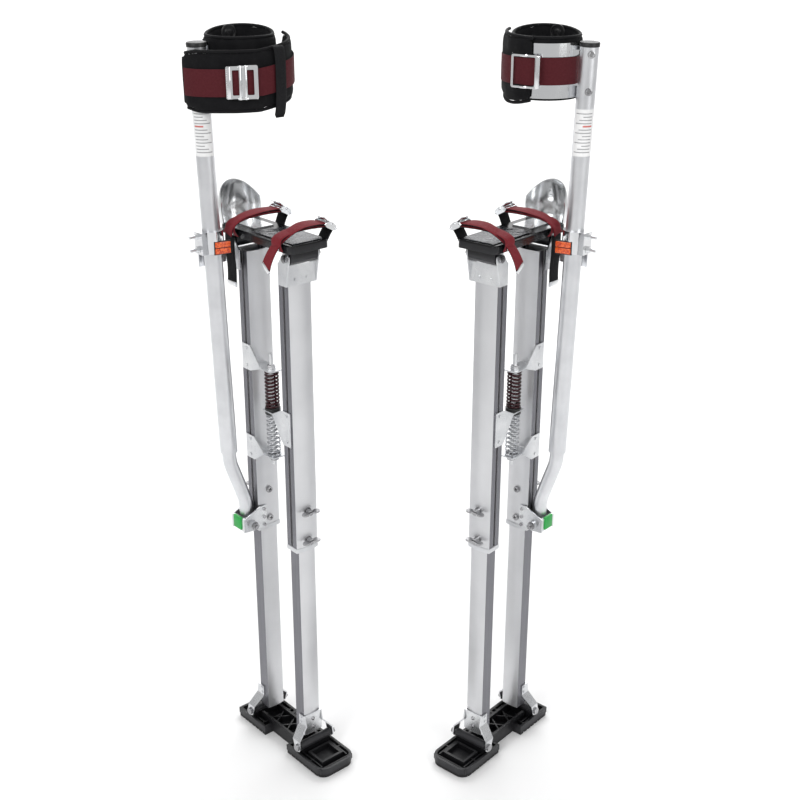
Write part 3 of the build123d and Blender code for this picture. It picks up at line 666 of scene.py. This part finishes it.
def make_rivets(side):
    """Domed heads over the brackets' rivets, and nuts on their bolts."""
    for end, sign in (("front", -1), ("rear", 1)):
        web = local_box(side, f"{end}_lower_strut")
        face = web[0].y - ANKLE_WEB if sign < 0 else web[1].y + ANKLE_WEB
        shape = Shape()
        for z in ANKLE_RIVETS:
            rivet(shape, (0, face, z), (0, sign, 0), 4.0, 2.4)
        to_object(shape, f"{end}_ankle_rivets", side, f"{end}_lower", [BOLT])
    low, _ = local_box(side, "leg_tube_bracket")
    shape = Shape()
    nut(shape, (-40, low.y - 0.2, CLEVIS_HEIGHT), (0, -1, 0), 12.0, 5.0)
    for z in CHEEK_RIVETS:
        rivet(shape, (-14, CHEEK_FACE, z), (0, -1, 0), 3.4, 1.8)
    # Cross-slot heads on the strut's inward face; their slots are black bars of painted shade
    for z in SLOT_HEADS:
        spot = Vector((0, SLOT_FACE, z))
        lathe(shape, spot, (0, -1, 0), [(6.2, -2.8), (6.2, 0.2), (5.2, 1.2), (0, 1.6)], steps=28)
        for turn in (20, 110):
            block(shape, spot - Vector((0, 1.5, 0)), (7, 0.8, 1.3),
                  Matrix.Rotation(math.radians(turn), 3, "Y"), 0.2, 1)
    # Lock nuts on the spring rod
    rod_low, rod_high = local_box(side, "sway_springs")
    rod = ((rod_low.x + rod_high.x) / 2, (rod_low.y + rod_high.y) / 2)
    hexagon = [(7.4, 0), (8.1, 0.7), (8.1, 6.2), (7.2, 7.2), (5.0, 7.2), (4.5, 8.6)]
    lathe(shape, (*rod, ROD_NUT_TOP), (0, 0, 1), hexagon, steps=6)
    lathe(shape, (*rod, ROD_NUT_FOOT), (0, 0, -1), hexagon, steps=6)
    to_object(shape, "clevis_nut", side, "rear_upper", [BOLT, NYLON])


# ---------------------------------------------------------------- springs


def make_spring(side, name, low, high, turns, wire, material):
    """Coil spring between a fixed shelf and the moving seat."""
    rod_low, rod_high = local_box(side, "sway_springs")
    centre = (rod_low + rod_high) / 2
    path, steps = [], 20
    total = turns + 1.6
    for k in range(int(total * steps) + 1):
        turn = k / steps
        # Closed turns at both ends
        share = min(max((turn - 0.8) / turns, 0), 1)
        extra = (min(turn, 0.8) + max(turn - 0.8 - turns, 0)) * wire * 1.1
        z = low + wire + extra + share * (high - low - 2 * wire - 1.76 * wire)
        angle = 2 * math.pi * turn
        path.append(Vector((centre.x + SPRING_RADIUS * math.cos(angle),
                            centre.y + SPRING_RADIUS * math.sin(angle), z)))
    shape = tube(Shape(), path, wire, 10)
    return to_object(shape, name, side, "rear_upper", [material], smooth=180, ride=False)


def make_springs(side):
    """Upper and lower spring, each reaching from one of the rod's shelves to the seat."""
    seat_low, seat_high = local_box(side, "spring_seat")
    spring_low, spring_high = local_box(side, "sway_springs")
    upper = make_spring(side, "upper_spring", seat_high.z, spring_high.z + 1.5, 9.5, 2.0,
                        SPRING_BLACK)
    lower = make_spring(side, "lower_spring", spring_low.z - 1.5, seat_low.z, 9.0, 1.6,
                        SPRING_SILVER)
    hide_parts(f"{side}_sway_springs")
    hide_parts(f"{side}_sway_springs")
    for piece, fixed, moving in ((upper, spring_high.z, seat_high.z),
                                 (lower, spring_low.z, seat_low.z)):
        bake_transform(piece)


# ---------------------------------------------------------------- leg tube trim


def tube_axis_x(side, z):
    """The leg tube's axis at a height: its X, its slope, the tube's radius and its Y."""
    low, high = local_box(side, "upper_leg_tube")
    axis = FRAMES[side].to_3x3().inverted() @ Vector(JOINTS[f"{side}_tube_reach"]["axis"])
    slope = axis.x / axis.z
    half = (high.y - low.y) / 2
    return low.x + half + slope * (z - high.z), slope, half, (low.y + high.y) / 2


def make_tube_cap(side):
    """Black cap pressed on the leg tube's upper end."""
    _, high = local_box(side, "upper_leg_tube")
    x, slope, radius, y = tube_axis_x(side, high.z)
    outer = radius + 1.1
    profile = [(radius + 0.1, -6), (outer, -5.6), (outer, 0), (outer - 0.8, 1.2),
               (outer - 3, 1.6), (0, 1.8)]
    shape = lathe(Shape(), (x, y, high.z - 0.4), (slope, 0, 1), profile, steps=40)
    to_object(shape, "tube_cap", side, "calf_unit", [NYLON])
    # Screws that hold the calf plate
    shape = Shape()
    out = Vector((math.cos(TUBE_SCREW_ANGLE), math.sin(TUBE_SCREW_ANGLE), 0))
    for z in TUBE_SCREWS:
        x, _, radius, y = tube_axis_x(side, z)
        spot = Vector((x, y, z)) + out * (radius - 0.5)
        lathe(shape, spot, out, [(5.2, 0), (5.2, 1.4), (4.2, 2.2), (3.2, 2.2), (2.9, 1.4),
                                 (0, 1.4)], steps=6)
        lathe(shape, spot, out, [(6.4, 0), (6.4, 0.9), (5.8, 1.2), (0, 1.2)], steps=24)
    to_object(shape, "tube_screws", side, "calf_unit", [BOLT])


def curved_patch(shape, side, z_low, z_high, angle_low, angle_high, lift, slot):
    """Thin patch bent round the leg tube."""
    rows = []
    for z in (z_low, z_high):
        x, _, radius, y = tube_axis_x(side, z)
        ring = []
        for k in range(13):
            angle = math.radians(angle_low + (angle_high - angle_low) * k / 12)
            out = radius + lift
            ring.append((x + out * math.cos(angle), y + out * math.sin(angle), z))
        rows.append(ring)
    shape.grid(rows, closed_u=False, slot=slot)


def make_label(side):
    """Plain paper label with grey bars where the real one has print."""
    shape = Shape()
    curved_patch(shape, side, LABEL_LOW, LABEL_HIGH, 165, 300, 0.15, 0)
    for row in range(LABEL_ROWS):
        z = LABEL_LOW + 6 + row * LABEL_STEP
        slot, tall = (2, 2.6) if row == RED_ROW else (1, 1.5)
        reach = 288 - 24 * ((row * 7) % 3)
        curved_patch(shape, side, z, z + tall, 182, reach, 0.3, slot)
    to_object(shape, "label", side, "calf_unit", [LABEL, LABEL_INK, LABEL_RED], smooth=180)


def make_reflector(side):
    """Orange reflector of two fields in a black frame on the clamp, and the green end cap."""
    x, _, _, y = tube_axis_x(side, REFLECTOR_HEIGHT)
    front = y - 21
    shape = Shape()
    turn = Matrix.Rotation(math.radians(-14), 3, "Z")
    block(shape, (x + 6, front + 0.3, REFLECTOR_HEIGHT), (30, 3, 24), turn, 1.0, 1)
    for rise in (-5.4, 5.4):
        block(shape, (x + 6, front - 1.8, REFLECTOR_HEIGHT + rise), (27, 3.4, 9.6), turn, 1.2, 0)
    to_object(shape, "reflector", side, "rear_upper", [REFLECTOR, NYLON])
    low, high = local_box(side, "leg_tube_bracket")
    shape = Shape()
    block(shape, (-59.5, (low.y + high.y) / 2, 474.5), (6, 24, 25), None, 1.5)
    to_object(shape, "green_end_cap", side, "rear_upper", [GREEN])


# ---------------------------------------------------------------- foot plate


def make_grip_sheet(side):
    """Crinkled sheet laid on the foot plate."""
    low, high = local_box(side, "footplate")
    top = high.z
    rows, wide, long = [], 30, 24
    y0, y1, half = low.y + 7, 6, 31
    for i in range(long + 1):
        y = y0 + (y1 - y0) * i / long
        row = []
        for j in range(wide + 1):
            x = -half + 2 * half * j / wide
            lift = 0.5 + 0.45 * noise.noise(Vector((x * 0.06, y * 0.05, 3)))
            row.append((x, y, top + 0.15 + lift))
        rows.append(row)
    shape = Shape().grid(rows, closed_u=False)
    rim = [rows[0], [(x, y, top - 0.6) for x, y, _ in rows[0]]]
    shape.grid(rim, closed_u=False)
    to_object(shape, "grip_sheet", side, "foot_unit", [FILM], smooth=180)


def cam_buckle(shape, centre, across, along, width):
    """Cam buckle: two cheeks, a crossbar and a toothed lever."""
    across, along = Vector(across).normalized(), Vector(along).normalized()
    normal = across.cross(along).normalized()
    centre = Vector(centre)
    turn = Matrix((across, along, normal)).transposed()
    half = width / 2 + 2
    for sign in (-1, 1):
        cheek = [(-13, -1), (-9, 6), (3, 9), (11, 5), (14, -1), (9, -4), (-9, -4)]
        plate(shape, cheek, centre + across * (sign * half - 0.8), along, normal, 1.6)
    for reach, lift, radius in ((-10, 0.5, 1.7), (11, 0.5, 1.7), (1, 4.5, 2.0)):
        start = centre + across * -(half + 2.2) + along * reach + normal * lift
        lathe(shape, start, across, rounded_profile(radius, 2 * half + 4.4, 0.5), 14)
    tilt = turn @ Matrix.Rotation(math.radians(14), 3, "X")
    block(shape, centre + along * 7 + normal * 7.5, (width - 1, 19, 1.8), tilt, 0.6)
    block(shape, centre + along * -1 + normal * 5.0, (width - 3, 7, 5.5), turn, 1.8)


def make_foot_straps(side):
    """Instep strap, toe strap, their black backing, buckles and loose ends."""
    _, plate_high = local_box(side, "footplate")
    edge, top = plate_high.x + 1.8, plate_high.z
    # Width directions of straps that come from the inner side and from the outer side
    y, back = (0, 1, 0), (0, -1, 0)

    # Toe strap: anchored on both sides, its tail crosses to the outer side and hangs over it
    shape = Shape()
    strap(shape, [(edge, -80, top - 12, *y), (edge + 7, -82, top + 2, *y),
                  (edge + 11, -84, top + 12, *y), (edge + 5, -85, top + 19, *y)],
          26, 2.2, slots=(1, 1))
    strap(shape, [(-edge, -74, top - 12, *back), (-edge - 4, -74, top, *back),
                  (-edge + 1, -74, top + 9, *back), (-20, -78, top + 17, *back),
                  (8, -83, top + 20, *back), (40, -86, top + 18, *back)],
          26, 2.2, slots=(0, 1), wave=1.5, seed=3)
    strap(shape, [(42, -86, top + 23, 0.1, 1, 0), (20, -86, top + 26, 0.25, 1, 0.1),
                  (-6, -84, top + 24, 0.4, 1, 0.2), (-28, -80, top + 14, 0.5, 1, 0.3),
                  (-43, -72, top - 2, 0.45, 1, 0.4), (-51, -64, top - 21, 0.3, 0.9, 0.55),
                  (-56, -58, top - 41, 0.15, 0.8, 0.6)],
          25, 2.0, slots=(0, 1), wave=2.0, seed=8)
    toe = to_object(shape, "toe_strap", side, "foot_unit", [STRAP, BLACK_STRAP], smooth=50)

    # Instep strap, with its loose end hanging behind it on the outer side
    shape = Shape()
    strap(shape, [(edge, 40, top - 12, *y), (edge + 6, 39, top + 4, *y),
                  (edge + 8, 37, top + 15, *y), (edge, 34, top + 22, *y)],
          26, 2.2, slots=(1, 1))
    strap(shape, [(-edge, 52, top - 12, *back), (-edge - 7, 52, top, *back),
                  (-edge - 3, 50, top + 10, *back), (-28, 44, top + 18, *back),
                  (-6, 37, top + 22, *back), (16, 32, top + 23, *back),
                  (38, 30, top + 22, *back)],
          27, 2.2, slots=(0, 1), wave=1.5, seed=5)
    strap(shape, [(40, 30, top + 27, *y), (16, 32, top + 28, 0.1, 1, 0),
                  (-8, 37, top + 26, 0.2, 1, 0.1), (-32, 45, top + 19, 0.3, 1, 0.1),
                  (-48, 52, top + 6, 0.2, 1, 0.1), (-52, 56, top - 9, *y)],
          25, 2.0, slots=(0, 1), wave=1.5, seed=6)
    # The hanging end takes the darker calf webbing: painted shade where it hangs beside the sole
    strap(shape, [(-46.5, 60, top - 12, *back), (-46, 60, top - 40, *back),
                  (-44.8, 60, top - 70, *back), (-45.4, 60, top - 97, *back)],
          26, 2.4, slots=(2, 1), wave=2.0, seed=9)
    instep = to_object(shape, "instep_strap", side, "foot_unit",
                       [STRAP, BLACK_STRAP, CALF_STRAP], smooth=50)
    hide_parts(f"{side}_foot_straps")
    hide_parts(f"{side}_foot_straps")

    # Buckles, the strap ends' metal tips and the anchors' screws
    shape = Shape()
    cam_buckle(shape, (47, -85, top + 17), (0, 1, 0), (-0.88, 0, 0.45), 27)
    cam_buckle(shape, (42, 32, top + 22), (0, 1, 0), (-0.88, 0, 0.45), 27)
    block(shape, (-56.3, -57.4, top - 43), (3.4, 22, 7),
          Matrix.Rotation(math.radians(35), 3, "X"), 0.8)
    block(shape, (-45.4, 60, top - 98), (3.6, 27.5, 9), None, 0.8)
    for x, sy, z in ((edge + 1.6, -80, top - 8), (edge + 1.6, 40, top - 8),
                     (-edge - 1.6, -74, top - 8), (-edge - 1.6, 52, top - 8)):
        rivet(shape, (x, sy, z), (1 if x > 0 else -1, 0, 0), 4.5, 2.0)
    to_object(shape, "strap_buckles", side, "foot_unit", [CHROME])


# ---------------------------------------------------------------- calf band


def pad_shell(path, thick, edges, puff, closed=False, seed=0):
    """Padded band along a plan path: a rounded, slightly quilted slab stood on edge.
    edges gives its lower and upper height at a share of the path."""
    count = len(path)
    loops = []
    for i, point in enumerate(path):
        ahead = path[(i + 1) % count] if closed else path[min(i + 1, count - 1)]
        behind = path[i - 1] if closed or i else path[0]
        along = Vector((ahead.x - behind.x, ahead.y - behind.y, 0)).normalized()
        outward = Vector((along.y, -along.x, 0))
        taper = 1.0
        if not closed:
            ends = min(i, count - 1 - i) / max(1, count * 0.07)
            taper = math.sqrt(max(0.06, min(1.0, ends)))
        low, high = edges(i / (count if closed else count - 1))
        loop = []
        for k in range(PAD_LOOP):
            angle = 2 * math.pi * k / PAD_LOOP
            up = math.copysign(abs(math.sin(angle)) ** 0.32, math.sin(angle))
            out = math.copysign(abs(math.cos(angle)) ** 0.55, math.cos(angle))
            ripple = puff * noise.noise(Vector((point.x * 0.05, point.y * 0.05, up * 1.3 + seed)))
            offset = out * (thick / 2 + (ripple if out > 0 else 0)) * taper
            z = (low + high) / 2 + up * (high - low) / 2 * (0.86 + 0.14 * taper)
            loop.append(Vector((point.x, point.y, z)) + outward * offset)
        loops.append(loop)
    return Shape().grid(loops, closed_v=closed, caps=not closed)


def puff_up(piece, pressure, cap, voxel):
    """Inflates the pad with a short cloth simulation, capping how far a point may move."""
    remesh = piece.modifiers.new("Remesh", "REMESH")
    remesh.mode = "VOXEL"
    remesh.voxel_size = voxel
    apply_modifiers(piece)
    before = [vert.co.copy() for vert in piece.data.vertices]
    cloth = piece.modifiers.new("Cloth", "CLOTH")
    cloth.settings.use_pressure = True
    cloth.settings.uniform_pressure_force = pressure
    cloth.settings.tension_stiffness = 30
    cloth.settings.compression_stiffness = 30
    cloth.settings.bending_stiffness = 2
    cloth.settings.effector_weights.gravity = 0
    scene = bpy.context.scene
    for number in range(1, 16):
        scene.frame_set(number)
    apply_modifiers(piece)
    for vert, rest in zip(piece.data.vertices, before):
        move = vert.co - rest
        if move.length > cap:
            vert.co = rest + move.normalized() * cap
    scene.frame_set(1)
    piece.data.shade_smooth()


def apply_modifiers(piece):
    """Puts the modifiers' result into the mesh."""
    graph = bpy.context.evaluated_depsgraph_get()
    mesh = bpy.data.meshes.new_from_object(piece.evaluated_get(graph))
    piece.modifiers.clear()
    piece.data = mesh


def arc_path(centre, radius, start, end, count):
    """Points on a circle in plan, angles in degrees."""
    return [Vector((centre[0] + radius * math.cos(math.radians(start + (end - start) * k / count)),
                    centre[1] + radius * math.sin(math.radians(start + (end - start) * k / count)),
                    0)) for k in range(count + 1)]


def edge_binding(path, edges, thick, first=0.0, last=1.0):
    """Bound edges along a pad, from one share of its path to another."""
    shape = Shape()
    for rim, out in ((0, -0.5), (1, 0.5)):
        lifted = []
        for i, point in enumerate(path):
            share = first + (last - first) * i / (len(path) - 1)
            lifted.append(Vector((point.x, point.y, edges(share)[rim] + out)))
        tube(shape, lifted, thick, 8)
    return shape


def band_strap(shape, path, z_of, width, thick):
    """Webbing stood on edge along a plan path; z_of gives its middle's height."""
    count = len(path)
    points = [Vector((p.x, p.y, z_of(i / (count - 1)))) for i, p in enumerate(path)]
    widths = [Vector((0, 0, -1)) for _ in points]
    return ribbon(shape, points, widths, width, thick, slots=(0, 1))


def frame_plate(shape, centre, along, outward, size, window, thick, shift):
    """Pressed rectangular frame with rounded corners round a window."""
    along, outward = Vector(along).normalized(), Vector(outward).normalized()
    up = Vector((0, 0, 1))

    def corner_ring(half_x, half_z, radius, offset):
        ring = []
        for sx, sz, first in ((1, 1, 0), (-1, 1, 90), (-1, -1, 180), (1, -1, 270)):
            for step in range(5):
                angle = math.radians(first + 22.5 * step)
                ring.append((offset + sx * (half_x - radius) + radius * math.cos(angle),
                             sz * (half_z - radius) + radius * math.sin(angle)))
        return ring

    outer = corner_ring(size[0] / 2, size[1] / 2, 3.0, 0.0)
    outer_in = corner_ring(size[0] / 2 - 0.6, size[1] / 2 - 0.6, 2.4, 0.0)
    inner = corner_ring(window[0] / 2, window[1] / 2, 1.6, shift)
    rows = []
    for ring, lift in ((inner, 0), (outer_in, 0), (outer, 0.6), (outer, thick - 0.6),
                       (outer_in, thick), (inner, thick)):
        rows.append([Vector(centre) + along * x + up * z + outward * lift for x, z in ring])
    shape.grid(rows, closed_v=True)


def calf_buckle(shape, centre, along, outward, width):
    """Two-part buckle: a framed lever with a toothed bar, and a loop with a broad edge."""
    along, outward = Vector(along).normalized(), Vector(outward).normalized()
    centre = Vector(centre)
    tall = width + 8
    turn = Matrix((along, Vector((0, 0, 1)), outward)).transposed()
    frame_plate(shape, centre - along * 12.5, along, outward, (25, tall), (11, width - 4), 2.4,
                3.0)
    frame_plate(shape, centre + along * 13, along, outward, (26, tall + 2), (11, width - 4), 2.8,
                1.0)
    block(shape, centre - along * 21 + outward * 2.6, (6, tall - 1, 3.2), turn, 1.2)
    for tooth in range(14):
        rise = (tooth - 6.5) * (tall - 4) / 14
        block(shape, centre - along * 24.4 + outward * 2.6 + Vector((0, 0, rise)),
              (1.6, 1.7, 2.6), turn, 0.4)
    for reach, size in ((-3, 3.4), (6, 3.0)):
        block(shape, centre + along * reach + outward * 3.4, (size, tall + 3, 2.6), turn, 1.0)
    for end in (-1, 1):
        hinge = centre + along * 1.5 + outward * 2.2 + Vector((0, 0, end * (tall / 2 - 0.5)))
        block(shape, hinge, (17, 3.0, 3.0), turn, 1.0)


def loop_buckle(shape, centre, along, outward, width):
    """Wide rectangular wire loop with one broad pressed edge."""
    along, outward = Vector(along).normalized(), Vector(outward).normalized()
    centre = Vector(centre)
    tall = width + 9
    turn = Matrix((along, Vector((0, 0, 1)), outward)).transposed()
    frame_plate(shape, centre, along, outward, (50, tall), (38, tall - 6.5), 2.6, -2.0)
    block(shape, centre + along * 21 + outward * 1.8, (7, tall - 1, 3.6), turn, 1.4)
    for end in (-1, 1):
        spot = centre - along * 3 + outward * 2.4 + Vector((0, 0, end * (tall / 2 - 1.5)))
        block(shape, spot, (14, 4.0, 3.4), turn, 1.2)


def make_calf_pad(side):
    """Padded ring round the calf, its bound edges and the disc on its back wall."""
    middle = (CALF_INNER + CALF_OUTER) / 2
    edge = arc_path(CALF_CENTRE, middle, 0, 360, 72)
    z_high = local_box(side, "calf_pad")[1].z

    def edges(share):
        behind = max(0.0, math.cos(2 * math.pi * share - math.radians(50)))
        return CALF_FOOT, z_high + BACK_RISE * behind

    thick = CALF_OUTER - CALF_INNER - 1.5
    shape = pad_shell(edge[:-1], thick, edges, puff=1.6, closed=True)
    pad = to_object(shape, "calf_pad_soft", side, "calf_unit", [PAD], smooth=180, ride=False)
    finish_pad(pad, side, 2.5, 0.0035)
    binding = edge_binding(edge, edges, 2.8)
    to_object(binding, "calf_pad_binding", side, "calf_unit", [BLACK_STRAP], smooth=180)
    # Disc on the inside of the back wall
    angle = math.radians(76)
    out = Vector((math.cos(angle), math.sin(angle), 0))
    spot = Vector((*CALF_CENTRE, z_high - 1)) + out * (CALF_INNER + 0.5)
    profile = [(13, -1), (13, 1.6), (12, 2.6), (10.5, 2.6), (9.5, 1.4), (7, 1.4), (6, 2.4),
               (4.5, 3.0), (2.2, 3.0), (1.8, 1.8), (0, 1.8)]
    shape = lathe(Shape(), spot, -out, profile, steps=32)
    to_object(shape, "pad_disc", side, "calf_unit", [NYLON])


def make_right_flap():
    """Padded flap across the right band's front, with its strap, keeper and buckle."""
    side = "right"
    stations = [(-110, 72), (-109, 50), (-98, 28), (-64, -2), (-34, -16), (-10, -22),
                (14, -21), (34, -13), (48, 2), (54, 18), (54, 32)]
    path = smooth_path([(x, y, 0) for x, y in stations], 7)

    def edges(share):
        climb = 24 * max(0.0, share - 0.42) / 0.58
        low = 1236 + climb + 30 * max(0.0, 0.16 - share)
        high = 1328 + climb * 0.85 - 40 * max(0.0, 0.14 - share)
        return low, high

    shape = pad_shell(path, 8.5, edges, puff=3.0, seed=4)
    flap = to_object(shape, "front_flap", side, "calf_unit", [PAD], smooth=180, ride=False)
    finish_pad(flap, side, 3.0, 0.004)
    binding = edge_binding(path[3:-3], edges, 2.7, 3 / len(path), 1 - 3 / len(path))
    to_object(binding, "flap_binding", side, "calf_unit", [BLACK_STRAP], smooth=180)

    out = offset_path(path, 6.8)

    def height(share):
        return 1281 + 22 * max(0.0, share - 0.40) / 0.60

    shape = Shape()
    band_strap(shape, out[4:-1], height, CALF_STRAP_WIDTH, 2.2)
    index = int(len(out) * 0.555)
    spot = offset_path(path, 9.8)[index]
    along = (out[index + 1] - out[index - 1]).normalized()
    outward = Vector((along.y, -along.x, 0))
    spots = [(1334, -7), (1331, -2.5), (1316, 0.4), (1288, 1.0), (1256, 0.2), (1238, -2),
             (1226, -5)]
    stations = [(spot.x + outward.x * o, spot.y + outward.y * o, z, *(-along)) for z, o in spots]
    strap(shape, stations, 21, 2.2, slots=(1, 1))
    block(shape, (spot.x - outward.x * 5, spot.y - outward.y * 5, 1226), (17, 3, 8),
          Matrix((along, outward, Vector((0, 0, 1)))).transposed(), 1.0, 1)
    band = to_object(shape, "calf_band_strap", side, "calf_unit", [CALF_STRAP, BLACK_STRAP],
                     smooth=50)
    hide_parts("right_calf_strap")
    index = int(len(out) * 0.335)
    along = (out[index + 2] - out[index - 2]).normalized()
    outward = Vector((along.y, -along.x, 0))
    spot = out[index] + outward * 1.4
    shape = Shape()
    calf_buckle(shape, (spot.x, spot.y, 1282), along, outward, CALF_STRAP_WIDTH)
    to_object(shape, "calf_buckle", side, "calf_unit", [CHROME])


def finish_pad(pad, side, pressure, cap):
    """Inflates a pad, smooths it, puts it on its body and hides the CAD pad that it replaces."""
    puff_up(pad, pressure, cap, 0.0045)
    pad.data.materials.clear()
    pad.data.materials.append(PAD)
    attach(pad, f"{side}_calf_unit")
    modifier = pad.modifiers.new("Subdivision", "SUBSURF")
    modifier.levels = modifier.render_levels = 1
    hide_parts(f"{side}_calf_pad")


def offset_path(path, distance):
    """Plan path shifted outwards (to the right of its direction)."""
    shifted = []
    for i, point in enumerate(path):
        ahead = path[min(i + 1, len(path) - 1)]
        behind = path[max(i - 1, 0)]
        along = Vector((ahead.x - behind.x, ahead.y - behind.y, 0)).normalized()
        shifted.append(point + Vector((along.y, -along.x, 0)) * distance)
    return shifted


def make_left_band():
    """Strap over the left band's plate, and the bulging pad end with its buckle."""
    side = "left"
    z_high = local_box(side, "calf_pad")[1].z
    end = arc_path(CALF_CENTRE, CALF_OUTER + 5.4, 252, 350, 30)

    def edges(share):
        return CALF_FOOT - 8 * math.sin(math.pi * min(1.0, share * 1.25)), z_high + 6 * share

    shape = pad_shell(end, 8.5, edges, puff=3.0, seed=9)
    flap = to_object(shape, "pad_end", side, "calf_unit", [PAD], smooth=180, ride=False)
    finish_pad(flap, side, 3.0, 0.004)
    binding = edge_binding(end[1:-1], edges, 2.7, 1 / 30, 29 / 30)
    to_object(binding, "pad_end_binding", side, "calf_unit", [BLACK_STRAP], smooth=180)
    shape = Shape()
    # From the tube over the plate, then over the pad's end and on behind the calf
    over = arc_path(CALF_CENTRE, CALF_OUTER + 4.2, 186, 243, 18)
    over += arc_path(CALF_CENTRE, CALF_OUTER + 11.4, 255, 330, 24)
    rear = arc_path(CALF_CENTRE, CALF_OUTER + 1.6, -14, 150, 44)
    for route in (over, rear):
        band_strap(shape, route, lambda share: CALF_STRAP_HEIGHT, CALF_STRAP_WIDTH, 2.2)
    band = to_object(shape, "calf_band_strap", side, "calf_unit", [CALF_STRAP, BLACK_STRAP],
                     smooth=50)
    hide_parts("left_calf_strap")
    angle = math.radians(261)
    outward = Vector((math.cos(angle), math.sin(angle), 0))
    along = Vector((outward.y, -outward.x, 0))
    spot = Vector((*CALF_CENTRE, CALF_STRAP_HEIGHT)) + outward * (CALF_OUTER + 12.0)
    shape = Shape()
    loop_buckle(shape, spot, along, outward, CALF_STRAP_WIDTH)
    to_object(shape, "calf_buckle", side, "calf_unit", [CHROME])


for stilt in SIDES:
    for strut_end in ("front", "rear"):
        make_bush(stilt, strut_end)
    make_rivets(stilt)
    make_springs(stilt)
    make_tube_cap(stilt)
    make_label(stilt)
    make_reflector(stilt)
    make_grip_sheet(stilt)
    make_foot_straps(stilt)
    make_calf_pad(stilt)
make_right_flap()
make_left_band()


# ---------------------------------------------------------------- studio

CAMERA_HEIGHT = 1.584
CAMERA_BACK = 2.0851
CAMERA_PITCH = 22.4
CAMERA_SHIFT = 0.00875
LENS = 57.3


def make_camera():
    """Camera in front of the pair, above the foot plates and looking down."""
    data = bpy.data.cameras.new("camera")
    data.lens = LENS
    data.sensor_width = 36.0
    data.shift_x = CAMERA_SHIFT
    camera = bpy.data.objects.new("camera", data)
    camera.location = (0, -CAMERA_BACK, CAMERA_HEIGHT)
    camera.rotation_euler = (math.radians(90 - CAMERA_PITCH), 0, 0)
    bpy.context.scene.collection.objects.link(camera)
    bpy.context.scene.camera = camera


def make_floor():
    """Pale floor that curves up into a wall far behind the object."""
    profile = [(-6, 0), (2.5, 0), (3.6, 0.12), (4.4, 0.6), (4.8, 1.6), (4.9, 6)]
    rows = [[(-9, y, z), (9, y, z)] for y, z in profile]
    verts = [point for row in rows for point in row]
    faces = [[2 * i, 2 * i + 1, 2 * i + 3, 2 * i + 2] for i in range(len(rows) - 1)]
    mesh = bpy.data.meshes.new("floor")
    mesh.from_pydata(verts, [], faces)
    mesh.shade_smooth()
    nodes = Nodes("floor_paper")
    clouds = nodes.noise(nodes.coords(), 3.0, 3.0)
    mesh.materials.append(nodes.set(
        Base_Color=nodes.ramp(clouds, (0.90, 0.90, 0.90), (0.93, 0.93, 0.93)), Roughness=0.75))
    floor = bpy.data.objects.new("floor", mesh)
    bpy.context.scene.collection.objects.link(floor)


def area_light(name, place, target, size, power):
    """White rectangular light at a place, aimed at a target."""
    data = bpy.data.lights.new(name, "AREA")
    data.shape = "RECTANGLE"
    data.size, data.size_y = size
    data.energy = power
    light = bpy.data.objects.new(name, data)
    light.location = place
    light.rotation_euler = (Vector(target) - Vector(place)).to_track_quat("-Z", "Y").to_euler()
    bpy.context.scene.collection.objects.link(light)


def make_lights():
    """Soft light on the pair, and washes that keep the wall and the floor white."""
    world = bpy.data.worlds.new("studio")
    world.use_nodes = True
    background = world.node_tree.nodes["Background"]
    background.inputs["Color"].default_value = (1, 1, 1, 1)
    background.inputs["Strength"].default_value = 0.55
    bpy.context.scene.world = world
    area_light("key", (-1.8, -2.6, 3.0), (0, 0, 0.7), (1.6, 1.6), 48)
    area_light("fill", (2.4, -2.2, 2.0), (0, 0, 0.7), (1.4, 2.2), 22)
    area_light("rim", (0.4, 2.2, 2.8), (0, 0, 0.9), (2.4, 1.0), 16)
    area_light("wall_wash", (0, 2.9, 4.8), (0, 4.9, 0.8), (7.0, 1.0), 150)
    area_light("floor_wash", (0, 3.4, 3.2), (0, 2.9, 0.0), (6.0, 1.0), 24)


make_camera()
make_floor()
make_lights()
bpy.context.scene.view_settings.view_transform = "Standard"
